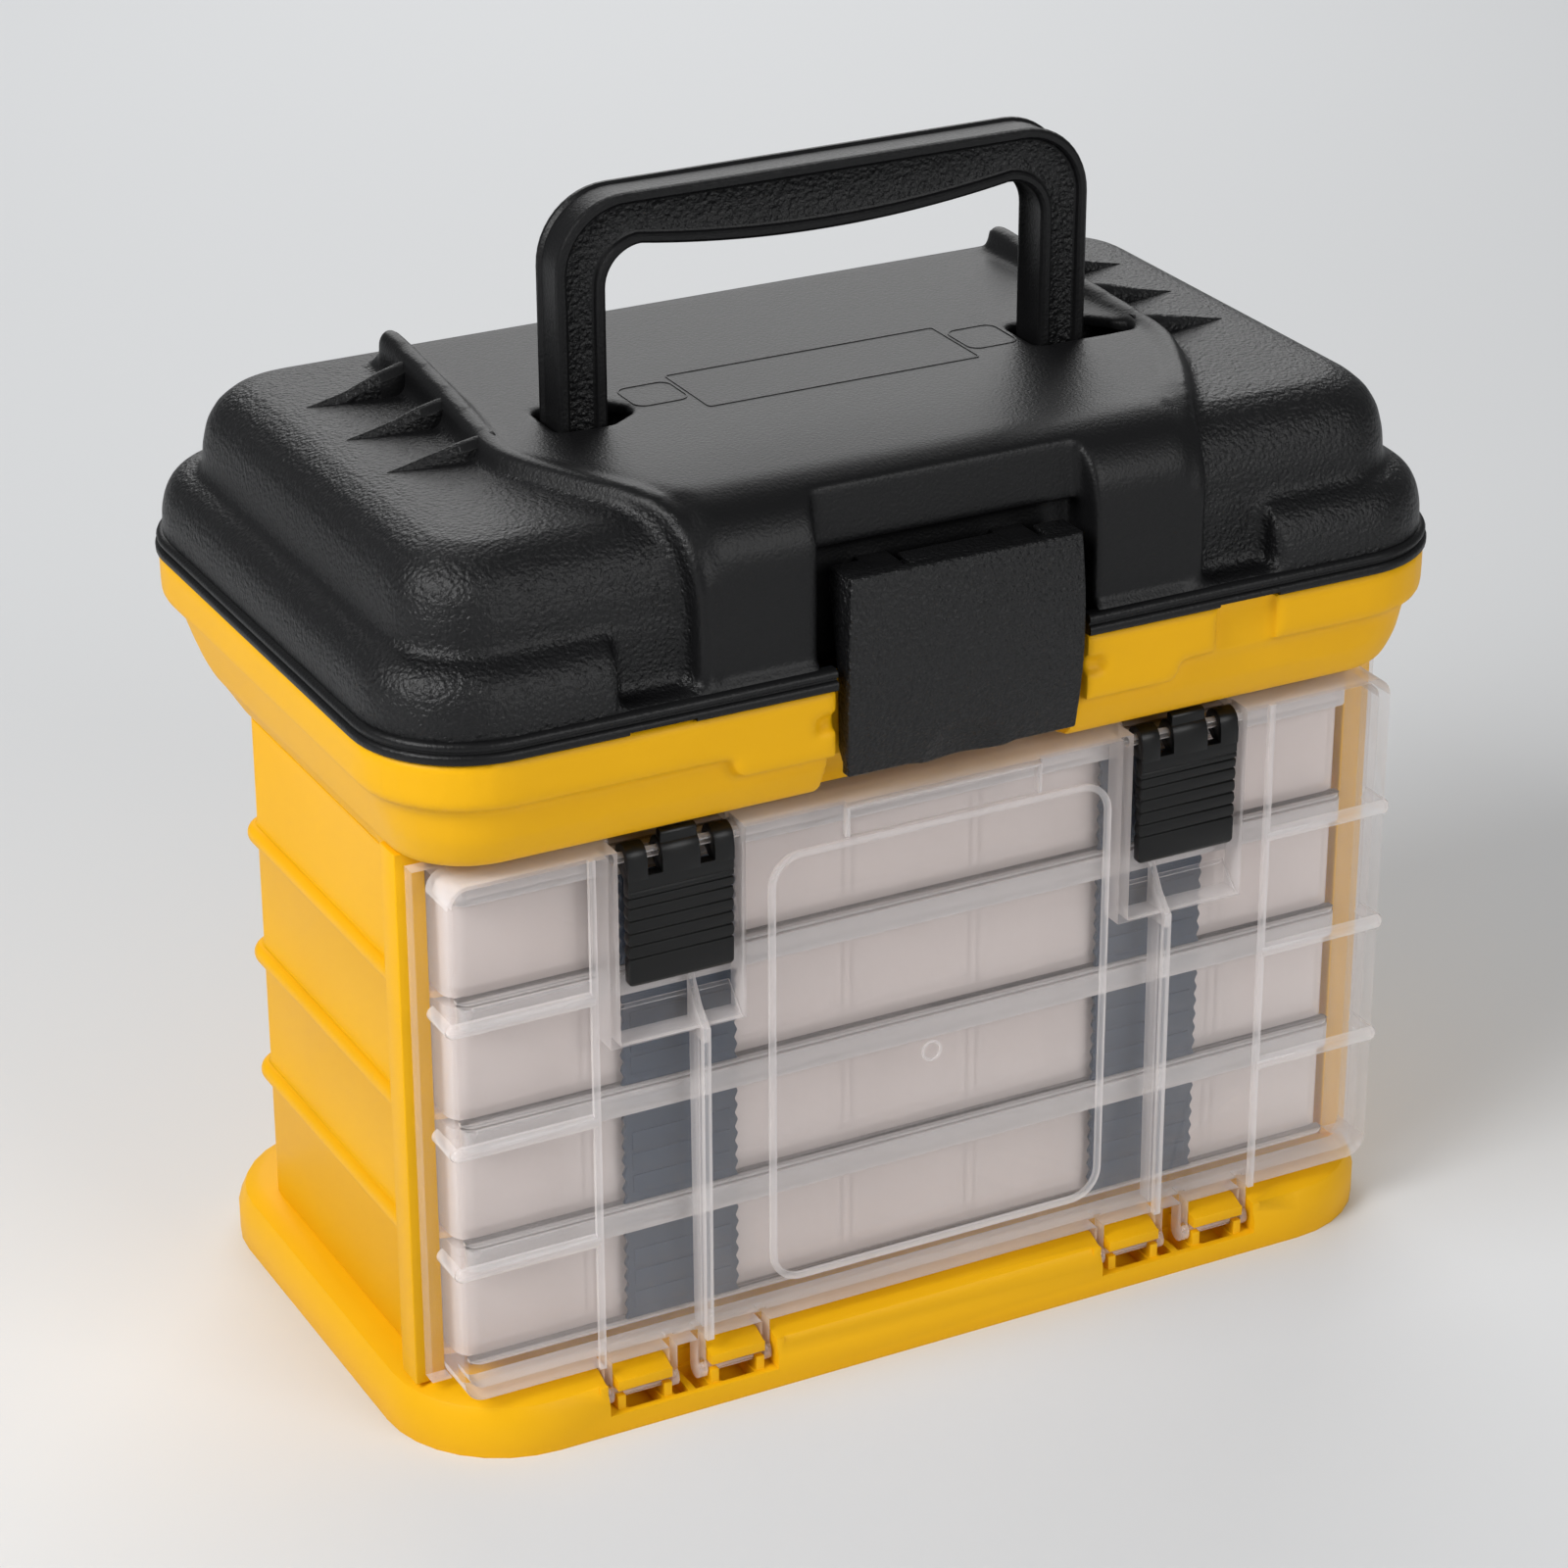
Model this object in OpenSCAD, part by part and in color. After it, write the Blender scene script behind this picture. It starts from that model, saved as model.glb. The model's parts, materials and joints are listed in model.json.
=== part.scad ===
// Portable tackle cabinet: a top bin with a domed lid over four slide-in trays,
// behind a clear door that drops down. Front is -Y, up is +Z, the floor is Z = 0.
// Inside each module, y is measured back from the front of the rim.

/* [Overall] */
// Width over the rim
rim_w = 270; // [240:1:325]
// Depth over the rim
rim_d = 165; // [158:1:200]
// Corner radius of the rim
rim_r = 27; // [20:1:32]
// Wall of the moulded casings
wall = 2.2; // [1.6:0.1:3]

/* [Trays] */
// Height of one tray with its lid shut
tray_h = 28.2; // [24:0.2:34]
// Free height over a tray lid, under the next runner
tray_gap = 0.6; // [0.4:0.1:1.5]
// Thickness of the runners that the trays slide on
runner_t = 1.8; // [1.2:0.1:3]
// Wall of the trays
tray_wall = 1.6; // [1:0.1:2.2]
// Gap from a tray to the side walls
tray_side_gap = 2.6; // [1.5:0.1:4]
// Front of the tray bodies
tray_y0 = 22; // [21:0.5:26]
// Dividers across each tray
divider_n = 6; // [2:1:8]
// Thickness of a divider
divider_t = 1.2; // [0.8:0.1:1.6]

/* [Base] */
// Height of the base plate
base_h = 14; // [13:0.5:20]
// Corner radius of the base plate
base_r = 30; // [20:1:34]
// How far the base is set in from the rim, each side
base_in = 5; // [3:0.5:8]
// Front of the base plate
base_y0 = 6; // [5:0.5:8]
// How far the base reaches behind the body
base_back = 25; // [15:1:30]

/* [Body] */
// How far the side walls are set in from the rim
body_in = 13.5; // [12:0.5:20]
// Front of the body
body_y0 = 26; // [25.5:0.5:30]
// How far the body's back is set in from the rim's back
body_back_in = 38; // [30:1:45]
// Radius of the moulded ribs round the body
rib_r = 2.4; // [1.5:0.1:3]

/* [Bin] */
// Height of the bin, from its floor's underside to the seam
bin_h = 29; // [26:1:45]
// Height of the thick band under the seam
band_h = 10.5; // [8:0.5:14]

/* [Lid] */
// Height of the flange and terrace round the lid
terrace_h = 20; // [16:1:26]
// Height of the dome over the seam
dome_h = 41.5; // [36:0.5:50]
// Height of the raised saddle over the dome
saddle_h = 4; // [3:0.5:6]
// Half width of the saddle
saddle_hw = 84; // [80:1:88]
// Half width of the pocket behind the clasp
pocket_hw = 34.3; // [32:0.1:36]
// Lid hinge pin radius
lid_pin_r = 1.5; // [1:0.1:2]
// Lid hinge knuckle radius
lid_knuckle_r = 3.6; // [3.2:0.1:4.5]
// Centre of each lid hinge
lid_hinge_x = 70; // [55:1:85]
// Length of one lid hinge knuckle
lid_knuckle_w = 11; // [8:1:14]

/* [Clasp] */
// Width of the clasp
clasp_w = 59; // [50:1:62]
// Height of the clasp
clasp_h = 47; // [42:1:50]
// How far the clasp stands proud of the rim
clasp_proud = 1.2; // [0.5:0.1:2]
// Clasp pin radius
clasp_pin_r = 1.5; // [1:0.1:1.8]

/* [Handle] */
// Width over the handle
handle_w = 134.6; // [125:0.1:138]
// Width of a handle leg
leg_w = 12; // [9:0.5:14]
// Depth of the handle, front to back
handle_d = 12; // [9:0.5:14]
// Middle of the handle, from the rim's front
handle_y = 69.5; // [64:0.5:74]
// Height of the grip's underside over the saddle
grip_gap = 36; // [30:1:40]
// Height of the grip
grip_h = 15.5; // [12:0.5:18]
// Gap between the grip and the saddle when the handle is down
handle_rest_gap = 1; // [0.6:0.1:3]
// How far the handle can still be lifted before its feet meet the wells
handle_play = 1; // [0.6:0.1:2]
// Half width of a handle well, side to side
well_hw = 16.5; // [14:0.5:17]
// Depth of a handle well, front to back
well_d = 17; // [15:0.5:19]
// Depth of a handle well, down from the saddle
well_h = 7; // [5:0.5:9]

/* [Door] */
// Front of the door
door_y0 = 9.9; // [9:0.1:11]
// Skin of the door
door_skin = 1.9; // [1.5:0.1:2.4]
// Gap between the door and the bin above it
door_top_gap = 2.8; // [2:0.1:4]
// Gap between the door and the base below it
door_bottom_gap = 2.4; // [2:0.1:4]
// Height of the door hinge's axis
door_pin_z = 8; // [7.4:0.1:9]
// Depth of the door hinge's axis, from the rim's front
door_pin_y = 11.5; // [11:0.1:12.5]
// Radius of the door's hinge pins
door_pin_r = 1.8; // [1.4:0.1:2]
// Centre of each door hinge and latch
door_hinge_x = 65.6; // [60:0.1:70]
// Width of a door hinge's cut-out in the base
hinge_cut_w = 43.3; // [40:0.1:46]

/* [Latches] */
// Width of a latch
latch_w = 26.3; // [22:0.1:28]
// Height of a door latch
latch_h = 34; // [28:0.5:38]
// Radius of a latch knuckle
latch_knuckle_r = 3.2; // [2.8:0.1:3.6]
// Radius of a latch pin
latch_pin_r = 1.3; // [1:0.1:1.6]

/* [Fits] */
// Radial clearance of a pin in its bore
pin_fit = 0.08; // [0.05:0.01:0.1]
// Clearance between parts that move past each other
slip = 0.4; // [0.3:0.05:0.6]

/* [Hidden] */
$fn = 48;
e = 0.01; // thickness of a hull's slabs
over = 1; // how far a cut runs past what it cuts
tray_n = 4;
pitch = tray_h + tray_gap + runner_t;
tray_z0 = base_h + 6;
function tray_z(i) = tray_z0 + (tray_n - i) * pitch; // tray 1 is at the top
bin_z0 = tray_z(1) + tray_h + 8;
seam_z = bin_z0 + bin_h;
rim_hw = rim_w / 2;
body_hw = rim_hw - body_in;
body_y1 = rim_d - body_back_in;
body_z1 = bin_z0 - 7;
body_r = 6;
flange_hw = body_hw + 5;
flange_d = 8;
base_hw = rim_hw - base_in;
base_y1 = body_y1 + base_back;
tray_hw = body_hw - wall - tray_side_gap;
tray_y1 = body_y1 - wall - 1;
runner_w = 8;

dome_z = seam_z + dome_h;
saddle_z = dome_z + saddle_h;
terrace_z = seam_z + terrace_h;
dome_hw = rim_hw - 9.5;
dome_y0 = 9;
dome_y1 = rim_d - 12;
saddle_y0 = 3;
saddle_shoulder_y = 58;
terrace_gap_hw = 82.3;
terrace_gap_z = seam_z + 5.6;
gusset_y = [67, 89.6, 113];
flange_t = 2.6;
saddle_y1 = 134;
prong_hw = 64;
lid_pin_y = rim_d + 1.4;
lid_pin_z = seam_z + 2;
lid_pin_len = 3 * lid_knuckle_w + 2 * slip;

clasp_z1 = seam_z + 25.6;
clasp_pin_y = 6.6;
clasp_pin_z = clasp_z1 - 4.2;
clasp_d = 8.4;
notch_hw = clasp_w / 2 + 2.3;
notch_y = 7.6;
catch_y = notch_y - 1.6;
pocket_y = clasp_pin_y + 7;

handle_drop = grip_gap - handle_rest_gap;
handle_z1 = saddle_z + grip_gap + grip_h;
leg_x = handle_w / 2 - leg_w / 2;
well_x = leg_x + 3;
well_z = saddle_z - well_h;
foot_z = well_z - wall - handle_play;
foot_h = 7;
foot_out = 3.4;

door_hw = rim_hw - 15.5;
door_flange_hw = body_hw + 2.8;
door_y1 = body_y0 - slip;
door_z0 = base_h + door_bottom_gap;
door_z1 = bin_z0 - door_top_gap;
ridge_hw = door_hw - 32;
frame_hw = 44.3;
step_hw = 25;
fin_x = 60.4;
fin_t = 1.8;
recess_hw = latch_w / 2 + 2.2;
recess_z0 = door_z1 - 47.7;
recess_y = 16.6;
recess_t = 1.5;
recess_back_t = 1.4;
latch_pin_y = 13;
latch_pin_z = door_z1 - 3;
lug_t = 2;
lug_w = 14.6; // clear width between the two lugs that hold one pin
lug_step = hinge_cut_w / 2 - lug_w / 2 - lug_t - slip;
hinge_cut_y1 = 19;

tray_lid_t = 2.4;
tray_knuckle_r = 2;
tray_knuckle_w = 7;
tray_pin_r = 0.8;
tray_pin_len = 3 * tray_knuckle_w + 2 * slip;
tray_r = 5;
tray_pin_y = tray_y1 - tray_knuckle_r;
tray_back = tray_y1 - 2 * tray_knuckle_r - 0.5;
tray_in_hw = tray_hw - tray_wall;
tray_hinge_x = tray_hw / 2;
tray_latch_y0 = tray_y0 - 3;
tray_latch_pin_y = tray_latch_y0 + 1.5;
tray_latch_pin_z = 0.8; // over the tray's seam

// Three rows of cells: the two long walls between them, and the ends of each row
row_d = (tray_back - tray_y0) / 3;
row_y = [tray_y0 + row_d, tray_y0 + 2 * row_d];
function row_side(k, far) = tray_y0 + (k + far) * row_d
    + (far ? -1 : 1) * (k + far == 0 || k + far == 3 ? 1 : 0.5) * tray_wall;
divider_x = [for (k = [1:divider_n]) -tray_hw + k * 2 * tray_hw / (divider_n + 1)];
groove_t = 1;
groove_d = 1.4;
groove_hw = divider_t / 2 + 0.15;

// The middle of the whole object's depth is at Y = 0
yf = -(rim_d + 1.4 + lid_knuckle_r - clasp_proud) / 2;

yellow = [0.93, 0.68, 0.1];
black = [0.09, 0.09, 0.1];
clear = [0.85, 0.85, 0.86, 0.5];
slate = [0.2, 0.24, 0.3];
steel = [0.7, 0.7, 0.72];

// ---- Shapes that repeat ----

// Rounded rectangle, half width hw, from y0 to y1
module plan(hw, y0, y1, r) {
    translate([-hw, y0 + r]) square([2 * hw, y1 - y0 - 2 * r]);
    translate([r - hw, y0]) square([2 * (hw - r), y1 - y0]);
    for (x = [r - hw, hw - r], y = [y0 + r, y1 - r]) translate([x, y]) circle(r);
}

module slab(hw, y0, y1, r, z, h = e) {
    translate([0, 0, z]) linear_extrude(h) plan(hw, y0, y1, r);
}

// Box from corner to corner
module span(a, b) {
    translate(a) cube(b - a);
}

// The same shape on the right and on the left
module both() {
    children();
    mirror([1, 0, 0]) children();
}

// Round bar along X from x0 to x1
module bar_x(x0, x1, y, z, r) {
    translate([x0, y, z]) rotate([0, 90, 0]) cylinder(r = r, h = x1 - x0);
}

// Upright plate in the XZ plane, from y0 to y1
module upright(y0, y1) {
    translate([0, y1, 0]) rotate([90, 0, 0]) linear_extrude(y1 - y0) children();
}

module placed(c) {
    color(c) translate([0, yf, 0]) children();
}

// ---- Base plate ----

module base_plate() {
    round_h = 6; // height of the rounding round the top
    shoulder = 0.3 * round_h;
    rim_t = 3;
    top_t = 2.6;
    stiffener_t = 2;
    stiffener_h = 3; // under the top, well clear of the floor
    block_t = 2; // walls round a hinge cut-out
    hinge_x0 = door_hinge_x - hinge_cut_w / 2;
    floor_z = door_pin_z - 3.1;
    mid_y = (base_y0 + base_y1) / 2;
    placed(yellow) difference() {
        union() {
            difference() {
                hull($fn = 32) {
                    slab(base_hw, base_y0, base_y1, base_r, 0, base_h - round_h);
                    slab(base_hw - shoulder, base_y0 + shoulder, base_y1 - shoulder,
                        base_r - shoulder, base_h - shoulder);
                    slab(base_hw - round_h, base_y0 + round_h, base_y1 - round_h,
                        base_r - round_h, base_h - e);
                }
                slab(base_hw - rim_t, base_y0 + rim_t, base_y1 - rim_t, base_r - rim_t,
                    -over, base_h - top_t + over);
            }
            for (i = [-3:3]) let(x = i * base_hw / 4)
                span([x - stiffener_t / 2, base_y0 + 2, base_h - top_t - stiffener_h],
                    [x + stiffener_t / 2, base_y1 - 2, base_h - 2]);
            span([2 - base_hw, mid_y - stiffener_t / 2, base_h - top_t - stiffener_h],
                [base_hw - 2, mid_y + stiffener_t / 2, base_h - 2]);
            both() span([hinge_x0 - block_t, base_y0 + 1, 0],
                [hinge_x0 + hinge_cut_w + block_t, hinge_cut_y1 + block_t, base_h - 1.5]);
        }
        both() difference() {
            span([hinge_x0, base_y0 - over, floor_z],
                [hinge_x0 + hinge_cut_w, hinge_cut_y1, base_h + over]);
            hinge_saddles(floor_z);
        }
    }
}

// What stays in a hinge cut-out: two tabs over the pins, and saddles under them
module hinge_saddles(z0) {
    tab_w = lug_w - 2 * slip;
    tab_y0 = base_y0 + 1.6;
    saddle_t = 2;
    for (s = [-1, 1]) translate([door_hinge_x + s * lug_step, 0, 0]) {
        difference() {
            union() {
                span([-tab_w / 2, tab_y0, door_pin_z + door_pin_r + 0.2],
                    [tab_w / 2, hinge_cut_y1 + e, base_h]);
                for (x = [-tab_w / 2, tab_w / 2 - saddle_t]) span([x, tab_y0 + slip, z0 - e],
                    [x + saddle_t, hinge_cut_y1 + e, door_pin_z + 0.4]);
            }
            bar_x(-tab_w, tab_w, door_pin_y, door_pin_z, door_pin_r + pin_fit);
        }
    }
}

// ---- Body shell ----

module body_shell() {
    rib_z = [for (i = [1:tray_n - 1]) base_h + 2 + i * (body_z1 - base_h) / tray_n];
    placed(yellow) difference() {
        union() {
            slab(body_hw, body_y0 + 2, body_y1, body_r, base_h, body_z1 - base_h);
            both() span([body_hw - wall, body_y0, base_h], [flange_hw, body_y0 + flange_d, bin_z0]);
            for (z = rib_z) translate([0, 0, z]) wrap_rib();
        }
        difference() {
            span([wall - body_hw, body_y0 - over, base_h - over],
                [body_hw - wall, body_y1 - wall, bin_z0 + over]);
            both() for (i = [1:tray_n])
                span([body_hw - wall - runner_w, body_y0, tray_z(i) - runner_t],
                    [body_hw, body_y1, tray_z(i)]);
        }
    }
}

// Half-round rib round the sides and the back of the body
module wrap_rib() {
    both() translate([body_hw, body_y0 + flange_d, 0]) rotate([-90, 0, 0])
        cylinder(r = rib_r, h = body_y1 - body_r - body_y0 - flange_d);
    bar_x(body_r - body_hw, body_hw - body_r, body_y1, 0, rib_r);
    both() translate([body_hw - body_r, body_y1 - body_r, 0]) rotate_extrude(angle = 90)
        translate([body_r, 0]) circle(rib_r);
}

// ---- Top bin ----

module top_bin() {
    band_z = seam_z - band_h;
    skirt_y0 = body_y0 + flange_d + slip;
    // Inset at the sides, front and back, less corner radius, and height of each section
    outside = [[3.4, 3.4, 3.4, 3, band_z], [6.4, 5.4, 9, 5, band_z - 10],
        [8.4, 8.8, 15, 8, bin_z0 + 2], [9.6, 13, 20, 10, bin_z0]];
    inside = [[3.4, 3.4, 3.4, 3.4, seam_z], [5.6, 6, 6, 6, band_z],
        [12, 17, 22, 12, bin_z0 + 2.4]];
    placed(yellow) difference() {
        union() {
            slab(rim_hw - 0.6, 0.6, rim_d - 0.6, rim_r - 0.6, band_z, band_h);
            hull($fn = 32) bin_sections(outside);
            hull($fn = 32) {
                slab(rim_hw - 9.6, skirt_y0, rim_d - 20, 10, bin_z0);
                slab(body_hw, skirt_y0, body_y1 + 2, body_r, body_z1 + e);
            }
            both() for (s = [-1, 1]) bin_knuckle(s);
        }
        hull($fn = 32) bin_sections(inside);
        // room for the body's top, under the bin's floor
        span([-body_hw - 2, body_y0 + flange_d, body_z1 - over],
            [body_hw + 2, body_y1 + 3, body_z1]);
        span([wall - body_hw, body_y0 + flange_d - over, body_z1 - over],
            [body_hw - wall, body_y1 - wall, bin_z0]);
        span([-notch_hw, -over, bin_z0 - over], [notch_hw, catch_y, seam_z + over]);
        both() knuckle_space(lid_hinge_x);
        both() lid_pin_bore(lid_pin_r + pin_fit);
    }
    placed(yellow) bin_catch();
}

// Sections of the bin, lowest or highest first
module bin_sections(sections) {
    for (c = sections) slab(rim_hw - c[0], c[1], rim_d - c[2], rim_r - c[3], c[4]);
}

// One of the bin's two knuckles beside the lid's, at each hinge
module bin_knuckle(s) {
    x = lid_hinge_x + s * (lid_knuckle_w + slip);
    bar_x(x - lid_knuckle_w / 2, x + lid_knuckle_w / 2, lid_pin_y, lid_pin_z, lid_knuckle_r);
    span([x - lid_knuckle_w / 2, rim_d - 3, seam_z - 7],
        [x + lid_knuckle_w / 2, lid_pin_y + 1.2, seam_z - 0.2]);
}

module lid_pin_bore(r) {
    bar_x(lid_hinge_x - lid_pin_len / 2 - over, lid_hinge_x + lid_pin_len / 2 + over,
        lid_pin_y, lid_pin_z, r);
}

// Clear space round a lid hinge knuckle that is centred on x
module knuckle_space(x) {
    bar_x(x - lid_knuckle_w / 2 - slip, x + lid_knuckle_w / 2 + slip,
        lid_pin_y, lid_pin_z, lid_knuckle_r + slip);
}

// Wall behind the clasp, with the ridge that the clasp snaps over
module bin_catch() {
    ridge_z = seam_z - 13;
    ridge_h = 3;
    ridge_hw = clasp_w / 2 - 8;
    span([-notch_hw - 1, catch_y, bin_z0 + 2], [notch_hw + 1, notch_y + 1.2, seam_z]);
    span([-ridge_hw, catch_y - 1.8, ridge_z], [ridge_hw, notch_y, ridge_z + ridge_h]);
}

// ---- Lid ----

module lid() {
    placed(black) {
        difference() {
            union() {
                lid_skin();
                both() lid_knuckle();
                both() well_shell();
            }
            clasp_pocket();
            both() handle_well_cut();
            both() for (s = [-1, 1]) knuckle_space(lid_hinge_x + s * (lid_knuckle_w + slip));
            both() lid_pin_bore(lid_pin_r + pin_fit);
        }
        clasp_lugs();
    }
}

// Hollow shell of the lid: flange, terrace, dome and saddle
module lid_skin() {
    difference() {
        union() {
            slab(rim_hw, 0, rim_d, rim_r, seam_z, flange_t);
            terrace(0);
            dome(0);
            saddle_block(0);
            both() saddle_side_bar();
        }
        difference() {
            union() {
                terrace(wall);
                dome(wall);
                saddle_block(wall);
            }
            // what the pocket's walls are cut from
            span([-pocket_hw - wall, -over, seam_z - over], [pocket_hw + wall, pocket_y + wall, saddle_z]);
        }
    }
}

// Step round the lid's foot, open at the front. With t it is that much smaller all round.
module terrace(t) {
    sections = [[1.2, t > 0 ? seam_z - e : seam_z + 2], [3, terrace_z - 4 - t], [7, terrace_z - t]];
    difference() {
        hull($fn = 32) for (c = sections)
            slab(rim_hw - c[0] - t, c[0] + t, rim_d - c[0] - t, rim_r - c[0] - t, c[1]);
        span([-terrace_gap_hw - t, -over, terrace_gap_z - t],
            [terrace_gap_hw + t, dome_y0 + t, terrace_z + over]);
    }
}

// Dome inside the terrace. With t it is that much smaller all round.
module dome(t) {
    // Inset at the sides, front and back, corner radius, and height of each section
    sections = [[0, 0, 0, 20, t > 0 ? seam_z + 12 : seam_z + 2], [1.6, 2, 2, 18, dome_z - 9 - t],
        [5, 5.4, 5, 16, dome_z - 2.6 - t], [13, 13, 12, 10, dome_z - t]];
    hull($fn = 32) for (c = sections)
        slab(dome_hw - c[0] - t, dome_y0 + c[1] + t, dome_y1 - c[2] - t, c[3] - t, c[4]);
}

// Raised middle of the lid, with two prongs that run down its front.
// With t it is that much smaller all round, for the hollow under it.
module saddle_block(t) {
    top = saddle_z - t;
    foot_z = dome_z - 6;
    front_y = saddle_y0 + 12;
    bend_y = saddle_y0 + 20;
    translate([0, 0, foot_z]) linear_extrude(top - foot_z) for (m = [0, 1]) mirror([m, 0])
        polygon([[-e, front_y + t], [prong_hw - t, front_y + t], [prong_hw + 3 - t, bend_y],
            [saddle_hw - t, saddle_shoulder_y + t], [saddle_hw - t, saddle_y1 - t],
            [-e, saddle_y1 - t]]);
    // the prongs' front, rounded over at the top
    hull($fn = 32) {
        span([t - prong_hw, saddle_y0 + t, seam_z + 5], [prong_hw - t, bend_y, dome_z - 10]);
        span([4 + t - prong_hw, saddle_y0 + 7 + t, top - 2], [prong_hw - 4 - t, bend_y, top - 1]);
        span([6 + t - prong_hw, front_y + t, top - 1], [prong_hw - 6 - t, bend_y, top]);
    }
}

// Ridge bar along the saddle's edge, with three gussets
module saddle_side_bar() {
    bar_w = 6;
    gusset_t = 2;
    gusset_w = 23;
    foot_z = dome_z - 1;
    back_y = saddle_y1 - 8;
    translate([saddle_hw - bar_w, 0, 0]) rotate([90, 0, 90]) linear_extrude(bar_w) polygon([
        [saddle_shoulder_y, dome_z], [saddle_shoulder_y + 4, saddle_z + 1],
        [back_y - 4, saddle_z + 6], [back_y, saddle_z + 5], [back_y, foot_z],
        [saddle_shoulder_y, foot_z]]);
    for (y = gusset_y) translate([saddle_hw - 1, y + gusset_t / 2, 0]) rotate([90, 0, 0])
        linear_extrude(gusset_t) polygon([[0, foot_z], [gusset_w, foot_z],
            [gusset_w, dome_z + 0.2], [0, saddle_z + 1]]);
}

// Pocket in the lid's front, behind the clasp
module clasp_pocket() {
    span([-pocket_hw, -over, seam_z + flange_t], [pocket_hw, pocket_y, clasp_pin_z + 9]);
    span([-pocket_hw, -over, clasp_pin_z], [pocket_hw, pocket_y - 2, saddle_z - 6]);
    span([-notch_hw, -over, seam_z - over], [notch_hw, notch_y, seam_z + 6]);
}

// The two lugs that hold the clasp's pin
module clasp_lugs() {
    lug_x = 17;
    lug_hw = 4;
    lug_r = 3.1;
    web_t = 2.4;
    web_h = 12;
    difference() {
        for (x = [-lug_x, lug_x]) {
            bar_x(x - lug_hw, x + lug_hw, clasp_pin_y, clasp_pin_z, lug_r);
            span([x - lug_hw, clasp_pin_y, clasp_pin_z - lug_r],
                [x + lug_hw, pocket_y + 1, clasp_pin_z + lug_r]);
            span([x - web_t / 2, clasp_pin_y + 1, clasp_pin_z - web_h],
                [x + web_t / 2, pocket_y + 1, clasp_pin_z]);
        }
        bar_x(-clasp_w, clasp_w, clasp_pin_y, clasp_pin_z, clasp_pin_r + pin_fit);
    }
}

module lid_knuckle() {
    x0 = lid_hinge_x - lid_knuckle_w / 2;
    bar_x(x0, x0 + lid_knuckle_w, lid_pin_y, lid_pin_z, lid_knuckle_r);
    span([x0, rim_d - 5, seam_z + 0.4], [x0 + lid_knuckle_w, lid_pin_y, lid_pin_z + lid_knuckle_r]);
}

// Walls and floor of a handle well, hanging inside the lid
module well_shell() {
    span([well_x - well_hw - wall, handle_y - well_d / 2 - wall, well_z - wall],
        [well_x + well_hw + wall, handle_y + well_d / 2 + wall, saddle_z - 1]);
}

module handle_well_cut() {
    span([well_x - well_hw, handle_y - well_d / 2, well_z],
        [well_x + well_hw, handle_y + well_d / 2, saddle_z + over]);
    span([leg_x - leg_w / 2 - slip, handle_y - handle_d / 2 - slip, seam_z],
        [leg_x + leg_w / 2 + slip, handle_y + handle_d / 2 + slip, saddle_z + over]);
}

module lid_hinge_pins() {
    placed(steel) both() bar_x(lid_hinge_x - lid_pin_len / 2, lid_hinge_x + lid_pin_len / 2,
        lid_pin_y, lid_pin_z, lid_pin_r);
}

// ---- Clasp ----

module clasp() {
    face = 3;
    z0 = clasp_z1 - clasp_h;
    knuckle_r = 3.2;
    placed(black) difference() {
        union() {
            intersection() {
                span([-clasp_w / 2, -clasp_proud, z0], [clasp_w / 2, clasp_d, clasp_z1]);
                bowed_face(face, z0);
            }
            both() clasp_arm(clasp_w / 2 - 3, clasp_w / 2, z0 + 8, knuckle_r);
            both() clasp_arm(5, 12, clasp_pin_z - 7, knuckle_r);
            // bar under the bin's ridge
            span([-clasp_w / 2 + 9, 1, seam_z - 17.4], [clasp_w / 2 - 9, 3.7, seam_z - 13.6]);
        }
        bar_x(-clasp_w, clasp_w, clasp_pin_y, clasp_pin_z, clasp_pin_r + pin_fit);
    }
}

// Knuckle of the clasp from x0 to x1, with the web that joins it to the plate
module clasp_arm(x0, x1, foot_z, r) {
    hull() {
        bar_x(x0, x1, clasp_pin_y, clasp_pin_z, r);
        span([x0, 1, foot_z], [x1, 2.4, clasp_pin_z + 2.4]);
    }
}

// Bowed plate: a slice of a wide tube that lies along X
module bowed_face(face, z0) {
    bow_r = 300;
    y = bow_r - clasp_proud;
    z = z0 + clasp_h * 0.6;
    difference() {
        bar_x(-clasp_w, clasp_w, y, z, bow_r, $fn = 240);
        bar_x(-clasp_w - over, clasp_w + over, y, z, bow_r - face, $fn = 240);
    }
}

module clasp_pin() {
    placed(steel) bar_x(0.4 - clasp_w / 2, clasp_w / 2 - 0.4, clasp_pin_y, clasp_pin_z, clasp_pin_r);
}

// ---- Handle ----

module handle() {
    outer_r = 17;
    inner_r = 9;
    z0 = foot_z - foot_h;
    placed(black) {
        upright(handle_y - handle_d / 2, handle_y + handle_d / 2) difference() {
            translate([-handle_w / 2, z0]) square([handle_w, handle_z1 - z0]);
            plan(handle_w / 2 - leg_w, z0 - 2 * inner_r, handle_z1 - grip_h, inner_r);
            for (s = [-1, 1]) corner_cut(s, outer_r);
        }
        both() span([leg_x - leg_w / 2 - foot_out, handle_y - handle_d / 2, z0],
            [leg_x + leg_w / 2 + foot_out, handle_y + handle_d / 2, foot_z]);
    }
}

// What is cut off a square corner to leave a round one
module corner_cut(s, r) {
    translate([s * (handle_w / 2 - r), handle_z1 - r]) difference() {
        translate([s > 0 ? 0 : -r - over, 0]) square(r + over);
        circle(r);
    }
}

// ---- Door ----

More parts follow.
